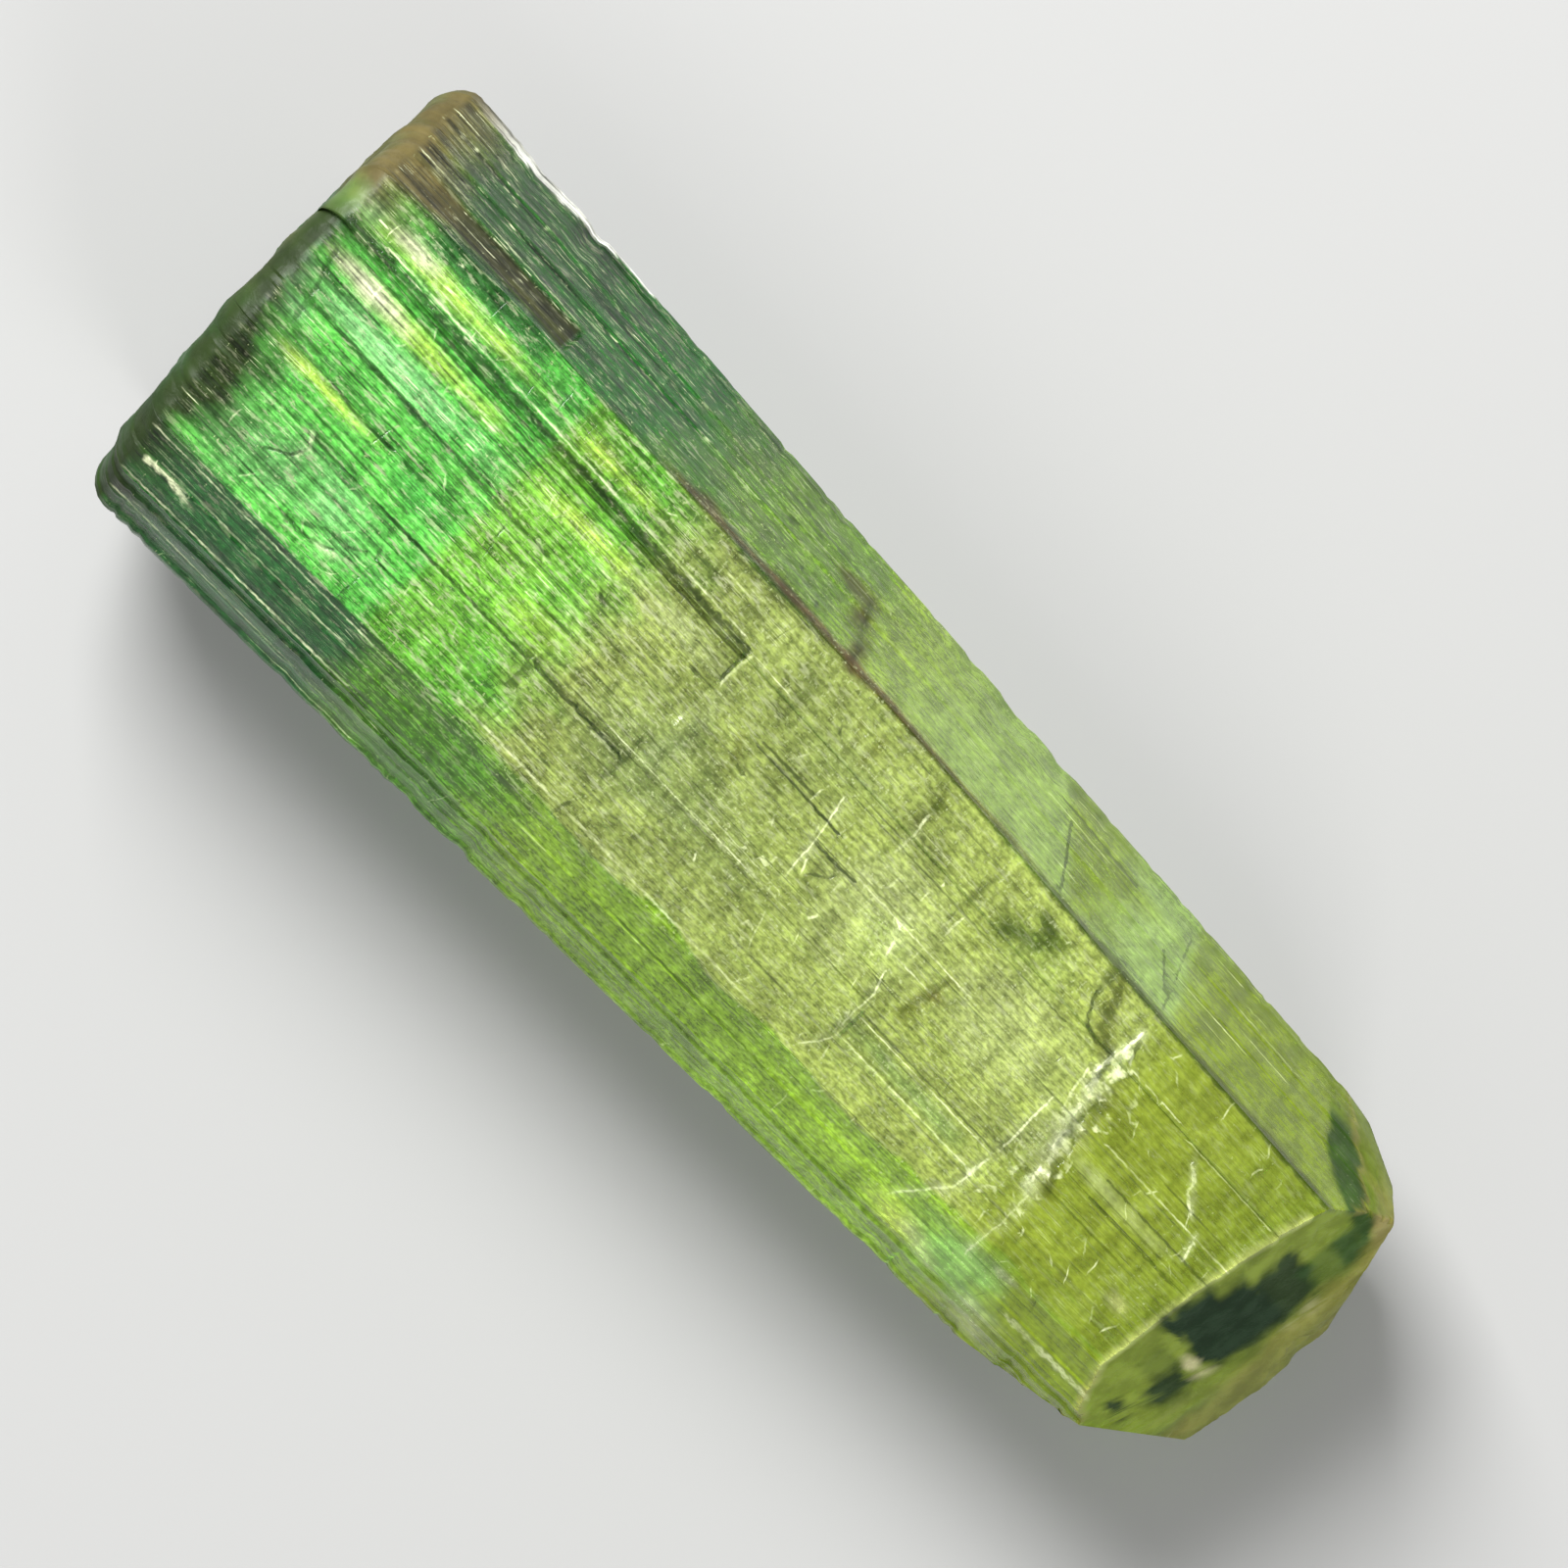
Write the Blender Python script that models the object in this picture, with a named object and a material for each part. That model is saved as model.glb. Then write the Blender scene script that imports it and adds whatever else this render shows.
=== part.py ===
"""A loose tourmaline crystal: one striated prism lying on its flattest side.

The c-axis, the long axis that the prism faces run along, is the X axis. The base, where the
crystal broke from its rock, is at -X, and the natural termination is at +X. The crystal rests
on one broad prism face in the plane Z = 0, with the origin under the middle of its box.
"""

import bpy
import numpy as np

MM = 0.001

# Driving dimensions, in millimetres. x runs along the crystal, y across it and z up.
LENGTH = 31.06
BASE_X = -LENGTH / 2
TIP_X = LENGTH / 2
AXIS_Y = 0.0
AXIS_Z = 4.4

# The crystal tapers towards its tip: its width shrinks by this share of itself for each
# millimetre, and so does its height, while its underside stays on the ground.
TAPER_Y = 0.0072
TAPER_Z = 0.0050

# Where two prism faces meet there is a long edge. These are the (y, z) of each at the base,
# anticlockwise as seen from the tip.
PRISM_EDGES = (
    ("right", 5.72, 4.45),
    ("ridge", 3.12, 8.92),
    ("shoulder", 1.90, 9.22),
    ("crown", -0.90, 9.30),
    ("top_left", -3.64, 8.98),
    ("left_upper", -4.92, 7.75),
    ("left_middle", -5.75, 5.60),
    ("left_lower", -5.75, 3.60),
    ("bottom_left", -3.80, 0.00),
    ("bottom_right", 3.05, 0.00),
)
EDGE_WEAR = 0.04

# Growth striations: each face is a row of flat lands, stepped a little in or out. A row here
# is (number of lands, deepest step, seed) for the face that starts at the edge of that name.
STRIATED_FACES = {
    "right": (9, 0.06, 3),
    "ridge": (2, 0.03, 4),
    "top_left": (5, 0.10, 5),
    "left_upper": (7, 0.10, 11),
    "left_middle": (5, 0.09, 6),
    "left_lower": (6, 0.09, 8),
    "bottom_right": (7, 0.08, 9),
}
# The broad faces have their lands set one by one, as (share of the face's width where the land
# ends, its depth). The underside's deep lands are grooves, and the rest touch the ground.
SET_LANDS = {
    "shoulder": ((0.10, 0.10), (0.30, 0.05), (0.62, 0.02), (0.69, 0.06), (1.00, 0.01)),
    "crown": ((0.22, 0.02), (0.30, 0.07), (0.66, 0.02), (0.76, 0.06), (1.00, 0.02)),
    "bottom_left": (
        (0.13, 0.0), (0.19, 0.06), (0.36, 0.0), (0.41, 0.04), (0.82, 0.0), (0.88, 0.06), (1.0, 0.0),
    ),
}
RISER = 0.06  # the width of the slope between two lands

# A thin outer layer of the top is missing from the base as far as LEDGE_END_X. It leaves a wall
# along the shoulder edge and a square end, and its floor climbs back to the face by FADE_Y.
LEDGE_END_X = -2.70
LEDGE_DEPTH = 0.20
LEDGE_FADE_Y = (1.90, -0.60)
# A shallow trough in the upper right face, beside the ridge, with a square end as well.
TROUGH_END_X = -9.70
TROUGH_DEPTH = 0.10
TROUGH_Y = (3.25, 3.85)
# A shallow scar where a flake has come away from the top.
SCAR_X = (-11.70, -9.20)
SCAR_Y = (-3.30, -1.62)
SCAR_DEPTH = 0.07
# A strip of the top that is sunk between two cross fractures.
STRIP_X = (4.15, 8.20)
STRIP_Y = (-2.60, -1.70)
STRIP_DEPTH = 0.09
# The open fracture that crosses the top.
FRACTURE_X = 8.75
FRACTURE_HALF_WIDTH = 0.45
FRACTURE_DEPTH = 0.16
FRACTURE_Y = (-2.40, 2.40)

# The broken base: slightly domed across, leaning back, with a worn, rounded rim.
BASE_CREST_Y = 3.0
BASE_DOME = 0.0096
BASE_LEAN = 0.02
BASE_STEP = 0.10
BASE_RIM_RADIUS = 0.60

# The termination: a dull, lumpy end face cut round by sloping faces. Each is the plane
# x = at + per_y * y + per_z * z, and the end of the crystal is the lowest x of them all.
TERMINATION_FACES = (
    ("end_face", 15.98, 0.01, -0.20),
    ("top_face", 16.92, 0.150, -0.50),
    ("right_face", 15.80, -0.31, 0.0),
    ("right_slope", 17.35, -0.90, 0.08),
    ("right_corner", 22.77, -2.20, 0.0),
    ("right_bevel", 41.60, -4.85, -1.89),
    ("left_face", 18.85, 1.32, -0.03),
    ("left_corner", 22.70, 2.27, 0.0),
    ("left_chip", 34.50, 5.20, 0.0),
    ("under_face", 12.86, 0.19, 1.05),
)
TIP_LUMP = 0.10

# Stations along the crystal where the outline is cut. Between the two fixed limits they stand
# square to the axis, and beyond those they lean to follow the base and the tip.
STATIONS = (
    -15.53, -14.3, -11.8, -11.6, -9.76, -9.68, -9.30, -9.10, -2.76, -2.68, 4.11, 4.19,
    8.16, 8.24, 8.45, 8.75, 9.20, 12.0, 15.53,
)
FIXED_FROM, FIXED_TO = -13.5, 9.5
BASE_CAP_RINGS = (0.0, 0.20, 0.40, 0.60, 0.78, 0.87, 0.92, 0.965, 0.99)

BODY_COLOUR = (0.24, 0.46, 0.12, 1.0)
BODY_ROUGHNESS = 0.22
TOURMALINE_IOR = 1.63
CLEARNESS = 0.7


def clear_scene():
    for thing in list(bpy.data.objects):
        bpy.data.objects.remove(thing, do_unlink=True)


def step_up(value, start, end):
    """0 before start, 1 after end and a straight ramp between."""
    return np.clip((value - start) / (end - start), 0.0, 1.0)


def between(value, start, end, ramp):
    """1 from start to end, and 0 outside them, with a short ramp at each."""
    return step_up(value, start - ramp, start + ramp) - step_up(value, end - ramp, end + ramp)


def random_lands(count, deepest, seed):
    """Lands of uneven width and depth, as (share of the face where the land ends, its depth)."""
    dice = np.random.default_rng(seed)
    widths = dice.uniform(0.5, 1.6, count)
    ends = np.cumsum(widths) / widths.sum()
    depths = dice.uniform(0.0, deepest, count)
    depths[::2] *= 0.35
    return list(zip(ends, depths))


def face_columns(width, lands):
    """The columns of one face, as (share across, depth): both sides of each land."""
    half_riser = RISER / width / 2
    columns = []
    start = 0.0
    for end, depth in lands:
        columns.append((start + half_riser, depth))
        columns.append((end - half_riser, depth))
        start = end
    return columns


def base_outline():
    """Every column round the prism at the base: its (y, z) on the flat face, the direction
    that points into the crystal there, and how deep its land lies."""
    places = np.array([(y, z) for _, y, z in PRISM_EDGES])
    sides = np.roll(places, -1, axis=0) - places
    widths = np.linalg.norm(sides, axis=1)
    inward = np.stack([-sides[:, 1], sides[:, 0]], axis=1) / widths[:, None]
    found = []
    for face, (name, _, height) in enumerate(PRISM_EDGES):
        lands = SET_LANDS.get(name) or random_lands(*STRIATED_FACES[name])
        corner = (inward[face] + inward[face - 1]) / 2
        found.append((*places[face], *corner, EDGE_WEAR if height > 0 else 0.0))
        for share, depth in face_columns(widths[face], lands):
            found.append((*(places[face] + share * sides[face]), *inward[face], depth))
    found = np.array(found)
    return found[:, :2], found[:, 2:4], found[:, 4]


def local_depth(y, z, x):
    """How far the ledge, the trough, the sunk strip and the fracture go below their face, for
    the (y, z) that the surface would have at the base."""
    wall = 0.04
    top = z > 8.9
    ledge = LEDGE_DEPTH * (1 - step_up(-y, -LEDGE_FADE_Y[0], -LEDGE_FADE_Y[1]))
    ledge = ledge * (y < LEDGE_FADE_Y[0]) * (1 - step_up(x, LEDGE_END_X - wall, LEDGE_END_X + wall))
    strip = STRIP_DEPTH * between(y, *STRIP_Y, wall) * between(x, *STRIP_X, wall)
    crack = np.clip(1 - np.abs(x - FRACTURE_X) / FRACTURE_HALF_WIDTH, 0, 1)
    crack = crack * FRACTURE_DEPTH * between(y, *FRACTURE_Y, 0.3)
    scar = SCAR_DEPTH * between(y, *SCAR_Y, 0.1) * between(x, *SCAR_X, 0.1)
    trough = TROUGH_DEPTH * between(y, *TROUGH_Y, wall) * (z > 7.0)
    trough = trough * (1 - step_up(x, TROUGH_END_X - wall, TROUGH_END_X + wall))
    return top * (ledge + scar + strip + crack) + trough


def outline(columns, x):
    """The (y, z) of each column's surface at x, which holds one value for each column."""
    places, inward, depth = columns
    y, z = places.T
    sunk = depth + local_depth(y, z, x)
    along = x - BASE_X
    y = (y + sunk * inward[:, 0]) * (1 - TAPER_Y * along)
    z = (z + sunk * inward[:, 1]) * (1 - TAPER_Z * along)
    return np.stack([y, z])


def lumps(y, z):
    """Low swells and hollows, from about -1 to 1, as a sum of crossed waves."""
    swell = np.sin(1.9 * y + 0.7 * z + 0.4) * np.cos(1.3 * z - 0.8 * y)
    return 0.6 * swell + 0.4 * np.sin(3.1 * y - 2.3 * z) * np.cos(2.7 * z + 1.1 * y + 0.9)


def base_surface(y, z, share):
    """The x of the broken base: a leaning dome with a low step and a rim of RIM_RADIUS. The
    share is 0 on the axis and 1 on the outline."""
    broken = BASE_X + BASE_DOME * (BASE_CREST_Y - y) ** 2 + BASE_LEAN * z
    broken = broken + BASE_STEP * (0.4 + 0.4 * lumps(y, z) + step_up(z - 0.6 * y, 3.9, 4.5))
    into_rim = np.clip(1 - (1 - share) * AXIS_Z / BASE_RIM_RADIUS, 0, 1)
    return broken + BASE_RIM_RADIUS * (1 - np.sqrt(1 - into_rim ** 2))


def tip_planes(y, z, share):
    """The x of every termination face, with lumps on the end face."""
    planes = [at + per_y * y + per_z * z for _, at, per_y, per_z in TERMINATION_FACES]
    planes[0] = planes[0] + TIP_LUMP * (lumps(1.6 * y, 1.6 * z) - 0.5) * (1 - share ** 4)
    return np.array(planes)


def tip_surface(y, z, share):
    """The x of the termination, which is the lowest of its faces."""
    return tip_planes(y, z, share).min(axis=0)


def tip_ring_shares(rim):
    """Shares for the tip's rings, one for each column. The second and the fourth ring lie where
    the column's line to the axis crosses from one termination face to the next."""
    shares = np.linspace(1, 0, 401)[:, None]
    y, z = shares * rim[:, 1], AXIS_Z + shares * (rim[:, 2] - AXIS_Z)
    lowest = tip_planes(y, z, shares).argmin(axis=0)
    crossing = lowest[1:] != lowest[:-1]
    first = shares[np.where(crossing.any(axis=0), crossing.argmax(axis=0), 140), 0]
    later = crossing & (shares[1:] < first - 0.02)
    second = shares[np.where(later.any(axis=0), later.argmax(axis=0), 0), 0]
    second = np.where(later.any(axis=0), second, first * 0.6)
    outer = (1 + first) / 2
    return [outer, first, (first + second) / 2, second, second * 0.7, second * 0.4, second * 0]


def prism_rings(columns):
    """One ring for each station, with each column's own x. A column starts on the base's
    surface and ends on the termination's, found by walking along it a few times."""
    start = np.full(len(columns[2]), BASE_X + 1.0)
    end = np.full(len(columns[2]), TIP_X - 2.0)
    for _ in range(8):
        start = base_surface(*outline(columns, start), 1.0)
        end = tip_surface(*outline(columns, end), 1.0)
    rings = []
    for station in STATIONS:
        x = np.full(len(start), station)
        if station < FIXED_FROM:
            x = start + (station - BASE_X) / (FIXED_FROM - BASE_X) * (FIXED_FROM - start)
        elif station > FIXED_TO:
            x = FIXED_TO + (station - FIXED_TO) / (TIP_X - FIXED_TO) * (end - FIXED_TO)
        rings.append(np.column_stack([x, *outline(columns, x)]))
    return rings


def cap_rings(rim, shares, surface):
    """Rings that shrink a rim towards the axis and lie on the surface of that end."""
    centre = np.array([AXIS_Y, AXIS_Z])
    rings = []
    for share in shares:
        y, z = (centre + np.reshape(share, (-1, 1)) * (rim[:, 1:] - centre)).T
        rings.append(np.column_stack([surface(y, z, share), y, z]))
    return rings


def crystal_mesh(rings):
    """A closed mesh from the rings. The first and the last are single points."""
    count = len(rings[0])
    points = [rings[0][:1]] + rings[1:-1] + [rings[-1][:1]]
    last = 1 + count * (len(rings) - 2)
    following = (np.arange(count) + 1) % count
    faces = [(0, 1 + int(j), 1 + i) for i, j in enumerate(following)]
    for ring in range(len(rings) - 3):
        near = 1 + ring * count
        far = near + count
        faces += [(near + i, near + int(j), far + int(j), far + i) for i, j in enumerate(following)]
    near = last - count
    faces += [(near + i, near + int(j), last) for i, j in enumerate(following)]
    mesh = bpy.data.meshes.new("crystal")
    mesh.from_pydata((np.concatenate(points) * MM).tolist(), [], faces)
    mesh.validate()
    return mesh


def tourmaline_material():
    material = bpy.data.materials.new("tourmaline")
    material.use_nodes = True
    shader = material.node_tree.nodes["Principled BSDF"]
    shader.inputs["Base Color"].default_value = BODY_COLOUR
    shader.inputs["Roughness"].default_value = BODY_ROUGHNESS
    shader.inputs["Metallic"].default_value = 0.0
    shader.inputs["IOR"].default_value = TOURMALINE_IOR
    shader.inputs["Transmission Weight"].default_value = CLEARNESS
    return material


def build_crystal():
    prism = prism_rings(base_outline())
    rings = cap_rings(prism[0], BASE_CAP_RINGS, base_surface)
    rings += prism
    rings += cap_rings(prism[-1], tip_ring_shares(prism[-1]), tip_surface)
    crystal = bpy.data.objects.new("crystal", crystal_mesh(rings))
    crystal.data.materials.append(tourmaline_material())
    bpy.context.scene.collection.objects.link(crystal)
    return crystal


clear_scene()
build_crystal()
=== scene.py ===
# %% [markdown]
# # A tourmaline crystal
#
# The object is one natural crystal, about 31 mm long: a clear green prism with fine lines along
# its faces, a broken base and a low, bevelled tip. It lies on one of its faces.
#
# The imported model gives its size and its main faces. This script gives it the surface of a real
# crystal: the same form on a much finer grid, the growth lines, the stains, the fractures inside
# it and the way its green changes from one end to the other.

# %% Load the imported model
import math

import bpy
import numpy as np
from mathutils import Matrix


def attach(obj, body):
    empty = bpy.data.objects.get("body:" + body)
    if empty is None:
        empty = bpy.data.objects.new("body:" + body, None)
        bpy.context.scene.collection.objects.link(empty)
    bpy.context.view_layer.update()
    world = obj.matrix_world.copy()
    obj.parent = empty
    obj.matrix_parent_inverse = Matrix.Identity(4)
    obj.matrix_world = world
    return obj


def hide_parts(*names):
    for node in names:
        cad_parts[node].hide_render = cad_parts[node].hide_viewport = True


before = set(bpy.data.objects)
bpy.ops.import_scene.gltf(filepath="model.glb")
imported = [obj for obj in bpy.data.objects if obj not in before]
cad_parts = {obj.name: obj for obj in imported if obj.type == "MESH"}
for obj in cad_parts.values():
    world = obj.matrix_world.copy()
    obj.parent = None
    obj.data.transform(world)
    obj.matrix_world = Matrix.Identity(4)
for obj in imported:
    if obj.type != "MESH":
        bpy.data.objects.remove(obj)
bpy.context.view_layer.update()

MM = 0.001

# %% [markdown]
# ## The form of the prism
#
# A tourmaline grows as a three-sided prism whose corners are cut by six more faces, and each face
# is a stack of thin layers that end in long straight steps. The form is written as an outline at
# the base, with a straight edge wherever two faces meet, and each face is divided into flat
# lands, a little higher or lower than their neighbours. The values are the solid model's own, in
# millimetres, so the fine surface lies on the solid one, apart from the straighter ridge below.

# %% Outline and taper
LENGTH = 31.06
BASE_X = -LENGTH / 2
TIP_X = LENGTH / 2
AXIS_Z = 4.4
TAPER_Y = 0.0072
TAPER_Z = 0.0050
RIGHT_Z = 4.45
RIDGE_Y, RIDGE_Z = 3.12, 8.92
SHOULDER_Y = 1.90
PRISM_EDGES = (
    ("right", 5.72, RIGHT_Z),
    ("ridge", RIDGE_Y, RIDGE_Z),
    ("shoulder", SHOULDER_Y, 9.22),
    ("crown", -0.90, 9.30),
    ("top_left", -3.64, 8.98),
    ("left_upper", -4.92, 7.75),
    ("left_middle", -5.75, 5.60),
    ("left_lower", -5.75, 3.60),
    ("bottom_left", -3.80, 0.00),
    ("bottom_right", 3.05, 0.00),
)
EDGE_WEAR = 0.04
RISER = 0.06

# Number of lands, deepest step and seed, for the faces whose lands are uneven at random.
STRIATED_FACES = {
    "right": (9, 0.06, 3),
    "ridge": (2, 0.03, 4),
    "top_left": (5, 0.10, 5),
    "left_upper": (7, 0.10, 11),
    "left_middle": (5, 0.09, 6),
    "left_lower": (6, 0.09, 8),
    "bottom_right": (7, 0.08, 9),
}
# The share of the face's width where each land ends, and the land's depth.
SET_LANDS = {
    "shoulder": ((0.10, 0.10), (0.30, 0.05), (0.62, 0.02), (0.69, 0.06), (1.00, 0.01)),
    "crown": ((0.22, 0.02), (0.30, 0.07), (0.66, 0.02), (0.76, 0.06), (1.00, 0.02)),
    "bottom_left": (
        (0.13, 0.0), (0.19, 0.06), (0.36, 0.0), (0.41, 0.04), (0.82, 0.0), (0.88, 0.06), (1.0, 0.0),
    ),
}


def random_lands(count, deepest, seed):
    """Lands as (share where it ends, depth): the widths and depths are uneven, and every
    second land is raised to 35 percent of its depth."""
    dice = np.random.default_rng(seed)
    widths = dice.uniform(0.5, 1.6, count)
    ends = np.cumsum(widths) / widths.sum()
    depths = dice.uniform(0.0, deepest, count)
    depths[::2] *= 0.35
    return list(zip(ends, depths))


def land_corners():
    """Both sides of every land round the base outline, as rows of y, z, inward y, inward z and
    depth. A corner's inward direction is the mean of its two faces' directions."""
    places = np.array([(y, z) for _, y, z in PRISM_EDGES])
    sides = np.roll(places, -1, axis=0) - places
    widths = np.linalg.norm(sides, axis=1)
    inward = np.stack([-sides[:, 1], sides[:, 0]], axis=1) / widths[:, None]
    found = []
    for face, (name, _, height) in enumerate(PRISM_EDGES):
        lands = SET_LANDS.get(name) or random_lands(*STRIATED_FACES[name])
        corner = (inward[face] + inward[face - 1]) / 2
        found.append((*places[face], *corner, EDGE_WEAR if height > 0 else 0.0))
        start = 0.0
        for end, depth in lands:
            for share in (start + RISER / widths[face] / 2, end - RISER / widths[face] / 2):
                found.append((*(places[face] + share * sides[face]), *inward[face], depth))
            start = end
    return np.array(found)


corners = land_corners()
print("corners round the outline:", len(corners))

# %% [markdown]
# ## A fine grid round the crystal
#
# The grid's columns run along the crystal and its rings run round it. The columns follow the
# outline at even steps and also pass through every land's corner, so no step is blurred. The
# distance round the outline is kept as a coordinate of its own, because the growth lines are a
# pattern in that coordinate.

# %% Columns
COLUMN_STEP = 0.080
UNDERSIDE_Z = 3.0


def fine_columns(rows):
    """The rows of land corners, filled in with even steps, twice as wide on the underside: each
    value is interpolated along the outline's running length, which is returned too."""
    closed = np.vstack([rows, rows[:1]])
    gaps = np.linalg.norm(np.diff(closed[:, :2], axis=0), axis=1)
    knots = np.concatenate([[0], np.cumsum(gaps)])
    steps = np.arange(0, knots[-1], COLUMN_STEP)
    underneath = np.interp(steps, knots, closed[:, 1]) < UNDERSIDE_Z
    steps = steps[~underneath | (np.arange(len(steps)) % 2 == 0)]
    around = np.union1d(knots[:-1], steps)
    apart = np.diff(np.append(around, knots[-1])) > 0.030
    around = around[apart | np.isin(around, knots)]
    filled = np.stack([np.interp(around, knots, closed[:, k]) for k in range(5)], axis=1)
    return filled, around, knots[-1]


columns, around, girth = fine_columns(corners)
print("columns:", len(around), "girth in mm:", round(girth, 1))

# %% [markdown]
# ## Soft random patterns
#
# Most of what makes a crystal look grown is uneven in a soft way. One helper serves all of it:
# random values on a lattice, blended smoothly between the lattice's points. The lattice closes
# on itself round the crystal, so no pattern has a seam.

# %% Ramps and lattice noise
def step_up(value, start, end):
    """0 before start, 1 after end and a straight ramp between."""
    return np.clip((value - start) / (end - start), 0.0, 1.0)


def between(value, start, end, ramp):
    """1 from start to end, and 0 outside them, with a short ramp at each."""
    return step_up(value, start - ramp, start + ramp) - step_up(value, end - ramp, end + ramp)


def soft_noise(along, turn, cells, seed):
    """Random values from 0 to 1 on a lattice with this many cells round the crystal, blended
    with the smooth weight 3f^2 - 2f^3, where f is the place inside a cell."""
    table = np.random.default_rng(seed).random((128, cells))
    u, v = along, turn * cells
    iu, iv = np.floor(u).astype(int), np.floor(v).astype(int)
    fu, fv = u - iu, v - iv
    fu, fv = fu * fu * (3 - 2 * fu), fv * fv * (3 - 2 * fv)
    a = table[iu % 128, iv % cells] * (1 - fu) + table[(iu + 1) % 128, iv % cells] * fu
    b = table[iu % 128, (iv + 1) % cells] * (1 - fu) + table[(iu + 1) % 128, (iv + 1) % cells] * fu
    return a * (1 - fv) + b * fv


def rough_noise(along, turn, cells, seed):
    """Three octaves of soft noise, each twice as fine and half as strong as the last."""
    total = soft_noise(along, turn, cells, seed)
    total = total + 0.5 * soft_noise(along * 2, turn, cells * 2, seed + 1)
    total = total + 0.25 * soft_noise(along * 4, turn, cells * 4, seed + 2)
    return total / 1.75


# %% [markdown]
# ## Damage and growth relief
#
# A layer is missing along part of the top, which leaves a wall with a square end. There are a
# shallow scar, a trough beside the ridge, a sunk strip and an open fracture across the top. All
# are depths below the flat face. Finer than these are the growth lines, each a land a tenth of a
# millimetre wide that comes and goes along the crystal.

# %% Larger relief
LEDGE_END_X = -2.70
LEDGE_DEPTH = 0.20
LEDGE_FADE_Y = (1.90, -0.60)
TROUGH_END_X = -9.70
TROUGH_DEPTH = 0.10
TROUGH_Y = (3.25, 3.85)
SCAR_X = (-11.70, -9.20)
SCAR_Y = (-3.30, -1.62)
SCAR_DEPTH = 0.07
STRIP_X = (4.15, 8.20)
STRIP_Y = (-2.60, -1.70)
STRIP_DEPTH = 0.09
FRACTURE_X = 8.75
FRACTURE_HALF_WIDTH = 0.45
FRACTURE_DEPTH = 0.08
FRACTURE_Y = (-2.40, 2.40)


def local_depth(y, z, x, wander):
    """How far the larger relief goes below its face at each base (y, z) and each x. The wander,
    from -1 to 1, bends the outlines that are not straight on a real crystal."""
    wall = 0.04
    top = z > 8.9
    ledge = LEDGE_DEPTH * (1 - step_up(-y, -LEDGE_FADE_Y[0], -LEDGE_FADE_Y[1]))
    ledge = ledge * (y < LEDGE_FADE_Y[0]) * (1 - step_up(x, LEDGE_END_X - wall, LEDGE_END_X + wall))
    strip = STRIP_DEPTH * between(y, *STRIP_Y, wall) * between(x, *STRIP_X, wall)
    crack = np.clip(1 - np.abs(x + 0.25 * wander - FRACTURE_X) / FRACTURE_HALF_WIDTH, 0, 1)
    crack = crack * FRACTURE_DEPTH * between(y, *FRACTURE_Y, 0.3)
    bent_y, bent_x = y + 0.30 * wander, x + 0.45 * wander
    scar = SCAR_DEPTH * between(bent_y, *SCAR_Y, 0.06) * between(bent_x, *SCAR_X, 0.06)
    trough = TROUGH_DEPTH * between(y, *TROUGH_Y, wall) * (z > 7.0)
    trough = trough * (1 - step_up(x, TROUGH_END_X - wall, TROUGH_END_X + wall))
    return top * (ledge + scar + strip + crack) + trough


# %% Growth lines
LINE_DEPTH = 0.016


def growth_lines(x, turn):
    """Fine lands: a lattice with 300 cells round the crystal whose values change every 2.5 mm
    along it, sharpened to two levels, plus a coarser set with 90 cells."""
    fine = soft_noise(x / 2.5 + 60, turn, 300, 21)
    broad = soft_noise(x / 6.0 + 60, turn, 90, 22)
    return LINE_DEPTH * (step_up(fine, 0.40, 0.60) + 0.8 * step_up(broad, 0.42, 0.58))


# %% Chips along the two side edges
CHIP_DEPTH = 0.13


def edge_chips(x, y):
    """Small chips near the right and left edges, where a noise in x alone passes a threshold, so
    a chip is as deep all over the edge that it has broken."""
    near_edge = step_up(np.abs(y), 4.6, 5.6)
    side_seed = np.where(y > 0, 0.2, 0.7)
    large = step_up(soft_noise(x / 0.55 + 60, side_seed, 8, 33), 0.66, 0.80)
    small = step_up(soft_noise(x / 0.18 + 90, side_seed, 8, 34), 0.60, 0.85)
    return CHIP_DEPTH * near_edge * (0.65 * large + 0.35 * small)


# %% [markdown]
# ## The two ends
#
# The base is where the crystal broke from its rock: slightly domed, with a low step, arched
# ribs and a worn rim. The tip is what the crystal's own growth left, low sloping faces round a
# lumpy end. Each end is a height along X over the section's y and z: the tip is the lowest of
# several planes.

# %% Base and tip surfaces
BASE_CREST_Y = 3.0
BASE_DOME = 0.0096
BASE_LEAN = 0.02
BASE_STEP = 0.10
BASE_RIM_RADIUS = 0.60
TERMINATION_FACES = (
    ("end_face", 15.98, 0.01, -0.20),
    ("top_face", 16.92, 0.150, -0.50),
    ("right_face", 15.80, -0.31, 0.0),
    ("right_slope", 17.35, -0.90, 0.08),
    ("right_corner", 22.77, -2.20, 0.0),
    ("right_bevel", 41.60, -4.85, -1.89),
    ("left_face", 18.85, 1.32, -0.03),
    ("left_corner", 22.70, 2.27, 0.0),
    ("left_chip", 34.50, 5.20, 0.0),
    ("under_face", 12.86, 0.19, 1.05),
)
TIP_LUMP = 0.10


def lumps(y, z):
    """Low swells and hollows, from about -1 to 1, as a sum of crossed waves."""
    swell = np.sin(1.9 * y + 0.7 * z + 0.4) * np.cos(1.3 * z - 0.8 * y)
    return 0.6 * swell + 0.4 * np.sin(3.1 * y - 2.3 * z) * np.cos(2.7 * z + 1.1 * y + 0.9)


def grain(y, z):
    """Fine unevenness of a broken face, from about -1 to 1: short waves in three directions."""
    waves = np.sin(9.1 * y + 3.3 * np.sin(4.1 * z)) + np.sin(8.3 * z + 2.9 * np.sin(5.3 * y))
    return (waves + np.sin(13.7 * (y + z) + 2.0 * np.sin(7.7 * y))) / 3


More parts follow.
